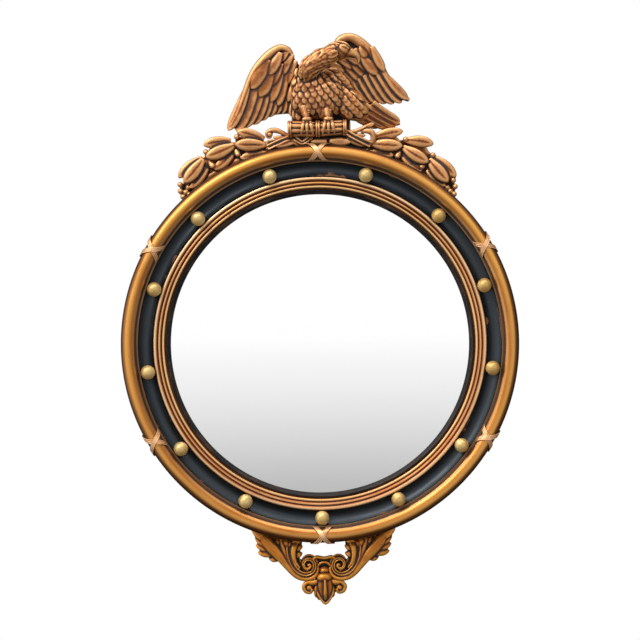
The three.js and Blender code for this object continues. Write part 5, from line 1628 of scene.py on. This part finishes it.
# %% Husk
CX = 1.6  # its middle line
niche = [(CX + 9.6 * math.cos(a), -292 + 10.2 * math.sin(a), 17.0) for a in np.linspace(-0.5, math.pi + 0.5, 15)]
crown = [(CX - 15, -277.5), (CX - 10, -274.0), (CX, -275.2), (CX + 10, -274.0), (CX + 15, -277.5)]
husk_outline = crown + [
    (CX + 12, -290), (CX + 12, -304), (CX + 21, -314), (CX + 10, -326), (CX + 1, -331), (CX - 8, -326),
    (CX - 20, -314), (CX - 12, -304), (CX - 12, -290),
]
shells = [
    plate(husk_outline, CARVED_BACK, GROUND),
    stick([(x, z - 1.5, 15.0) for x, z in crown], tapered(2.4, 2.6, 2.2, 2.6, 2.4), 40, 12),
    stick(niche, tapered(1.0, 1.5, 1.7, 1.5, 1.0), 40, 10),
    lump((CX, -297.5, 14.0), (8.6, 10.5, 6.5)),
    lump((CX, -301.5, 17.5), (10.6, 7.4, 8.0)),
    leaf(
        (CX + 0.8, -299, 20.0), (CX + 1.4, -337.0, 16.0), 9.4, 3.4, 6.0, 0, 2.5, base=0.8, widest=0.3, point=1.4,
        steps=26,
    ),
    stick(
        [(CX + 0.9, -304, 25.5), (CX + 1.1, -315, 25.4), (CX + 1.3, -325, 23.2), (CX + 1.3, -329.5, 21.4)],
        tapered(1.6, 1.8, 2.6, 1.4), 24, 12,
    ),
    stick(
        [
            (CX - 9.0, -315, 18), (CX - 7.4, -324, 18.5), (CX + 1.2, -334.6, 19), (CX + 9.8, -324, 18.5),
            (CX + 11.2, -315, 18),
        ],
        tapered(1.4, 2.0, 1.8, 2.0, 1.4), 40, 12,
    ),
]
for sign in (-1, 1):
    x = lambda across: CX + sign * across
    shells += [
        stick(
            [
                (x(5), -304.5, 17), (x(13.5), -307.5, 19), (x(21.5), -307.6, 18.5), (x(26.4), -312.6, 18),
                (x(24.0), -319.0, 17.5), (x(18.0), -320.4, 17.5), (x(15.6), -315.8, 19),
            ],
            tapered(3.6, 3.8, 3.4, 3.0, 2.8, 2.4, 2.0), 50, 14, 0.9,
        ),
        lump((x(19.8), -314.6, 16.5), (4.6, 4.6, 3.6)),
        leaf((x(8), -306, 17), (x(11.0), -327.5, 15), 4.4, 2.8, 5, sign * 1.2, 1.5, base=0.7),
        leaf((x(6), -306, 18), (x(7.5), -331.0, 15), 4.0, 2.8, 5, sign * 0.8, 1.5, base=0.7),
    ]
husk = carve("husk_carved", shells, 0.6, apron_gilt)
stand_for(husk, "crest_gilt", "husk_drop")

# %% [markdown]
# ## Floor, light and camera
# The photograph is taken straight on against white, with bright soft light from above and in front. The
# background is white only to the camera. Polished gold and glass see a room instead: bright in front,
# darker towards the floor, above and behind, which is what draws the bands of light and shade round the bead.

# %% Floor
FLOOR_HALF, FLOOR_LEVEL = 3, -1.2  # metres

floor_mesh = bpy.data.meshes.new("floor")
floor_corners = [(x * FLOOR_HALF, y * FLOOR_HALF, FLOOR_LEVEL) for x, y in ((-1, -1), (1, -1), (1, 1), (-1, 1))]
floor_mesh.from_pydata(floor_corners, [], [[0, 1, 2, 3]])
floor = bpy.data.objects.new("floor", floor_mesh)
scene.collection.objects.link(floor)
pale, tree, shader = new_material("pale_floor")
shade = clouds(tree, place_on(tree), 3.0)
set_inputs(tree, shader, {
    "Base Color": blend(tree, shade, (0.78, 0.78, 0.78, 1), (0.84, 0.84, 0.83, 1)),
    "Roughness": 0.8,
})
clear = node(tree, "BsdfTransparent").outputs[0]
mirrored_ray = node(tree, "LightPath").outputs["Is Glossy Ray"]
unseen = node(tree, "MixShader", {0: mirrored_ray, 1: shader.outputs[0], 2: clear})
tree.links.new(unseen.outputs[0], tree.nodes["Material Output"].inputs[0])
floor_mesh.materials.append(pale)

# %% The room that gold and glass see
room = bpy.data.worlds.new("studio")
scene.world = room
room.use_nodes = True
tree = room.node_tree
tree.nodes.clear()
FLOOR_TO_CEILING = [
    (0.0, 0.05), (0.14, 0.08), (0.24, 0.22), (0.297, 0.275), (0.345, 0.34), (0.39, 0.40), (0.43, 0.445),
    (0.475, 0.485), (0.5, 0.515), (0.80, 0.55), (0.87, 0.62), (0.94, 0.66), (1.0, 0.6),
]
FRONT_TO_BACK = [(0.0, 1.0), (0.35, 0.35), (0.8, 0.08)]
LEFT_TO_RIGHT = [(0.0, 1.0), (0.08, 1.0), (0.18, 0.6), (0.82, 0.6), (0.92, 0.24), (1.0, 0.2)]
x, y, z = node(tree, "SeparateXYZ", {0: node(tree, "TexCoord").outputs["Generated"]}).outputs


def levels(value, stops):
    """Brightness along a value: a list of (place from 0 to 1, level)."""
    return colour_stops(tree, value, [(place, (level, level, level, 1)) for place, level in stops])


def half_up(direction):
    """A direction from -1 to 1 as a place from 0 to 1."""
    return node(tree, "Math", {0: direction, 1: 0.5, 2: 0.5}, operation="MULTIPLY_ADD").outputs[0]


upright = stretched(tree, levels(half_up(z), FLOOR_TO_CEILING), (2.0, 2.0, 2.0))
behind = levels(y, FRONT_TO_BACK)
sideways = stretched(tree, levels(half_up(x), LEFT_TO_RIGHT), (1.667, 1.667, 1.667))
seen_by_gold = blend(tree, 1.0, blend(tree, 1.0, upright, behind, "MULTIPLY"), sideways, "MULTIPLY")
ray = node(tree, "LightPath").outputs
seen = blend(tree, ray["Is Glossy Ray"], (0.42, 0.43, 0.45, 1), seen_by_gold)
seen = blend(tree, ray["Is Camera Ray"], seen, (1, 1, 1, 1))
glow = node(tree, "Background", {"Color": seen, "Strength": 1.0})
tree.links.new(glow.outputs[0], tree.nodes.new("ShaderNodeOutputWorld").inputs[0])

# %% [markdown]
# Three round lamps light it: a broad key from the upper left, a softer one above, and a weak fill from
# the right that lifts the shadows but shows in no reflection.

# %% Lamps
def lamp(name, place, aim, size, watts):
    light = bpy.data.lights.new(name, "AREA")
    light.shape, light.size, light.energy = "DISK", size, watts
    holder = bpy.data.objects.new(name, light)
    holder.location = place
    holder.rotation_euler = (Vector(aim) - Vector(place)).to_track_quat("-Z", "Y").to_euler()
    scene.collection.objects.link(holder)
    return holder


lamp("key", (-1.6, -1.8, 2.1), (0, 0, 0.05), 2.2, 72)
lamp("top", (0.2, -0.9, 2.4), (0, 0, 0), 1.8, 24)
lamp("fill", (1.8, -2.4, 0.4), (0, 0, 0), 1.4, 9).visible_glossy = False

# %% [markdown]
# The camera stands three metres in front, a little above the middle of the ring, and is turned by three
# quarters of a degree, as the photograph is.

# %% Camera
SENSOR, VIEW_HALF, VIEW_AT, TURN = 36.0, 0.4096, 3.0, 0.75  # mm; half the view in metres, at metres; degrees

lens = bpy.data.cameras.new("camera")
lens.sensor_width = SENSOR
lens.lens = SENSOR / (2 * VIEW_HALF / VIEW_AT)
camera = bpy.data.objects.new("camera", lens)
camera.location = (0.0004, -3.036, 0.0301)
camera.rotation_euler = (math.radians(90), math.radians(TURN), 0)
scene.collection.objects.link(camera)
scene.camera = camera
scene.view_settings.view_transform = "Standard"
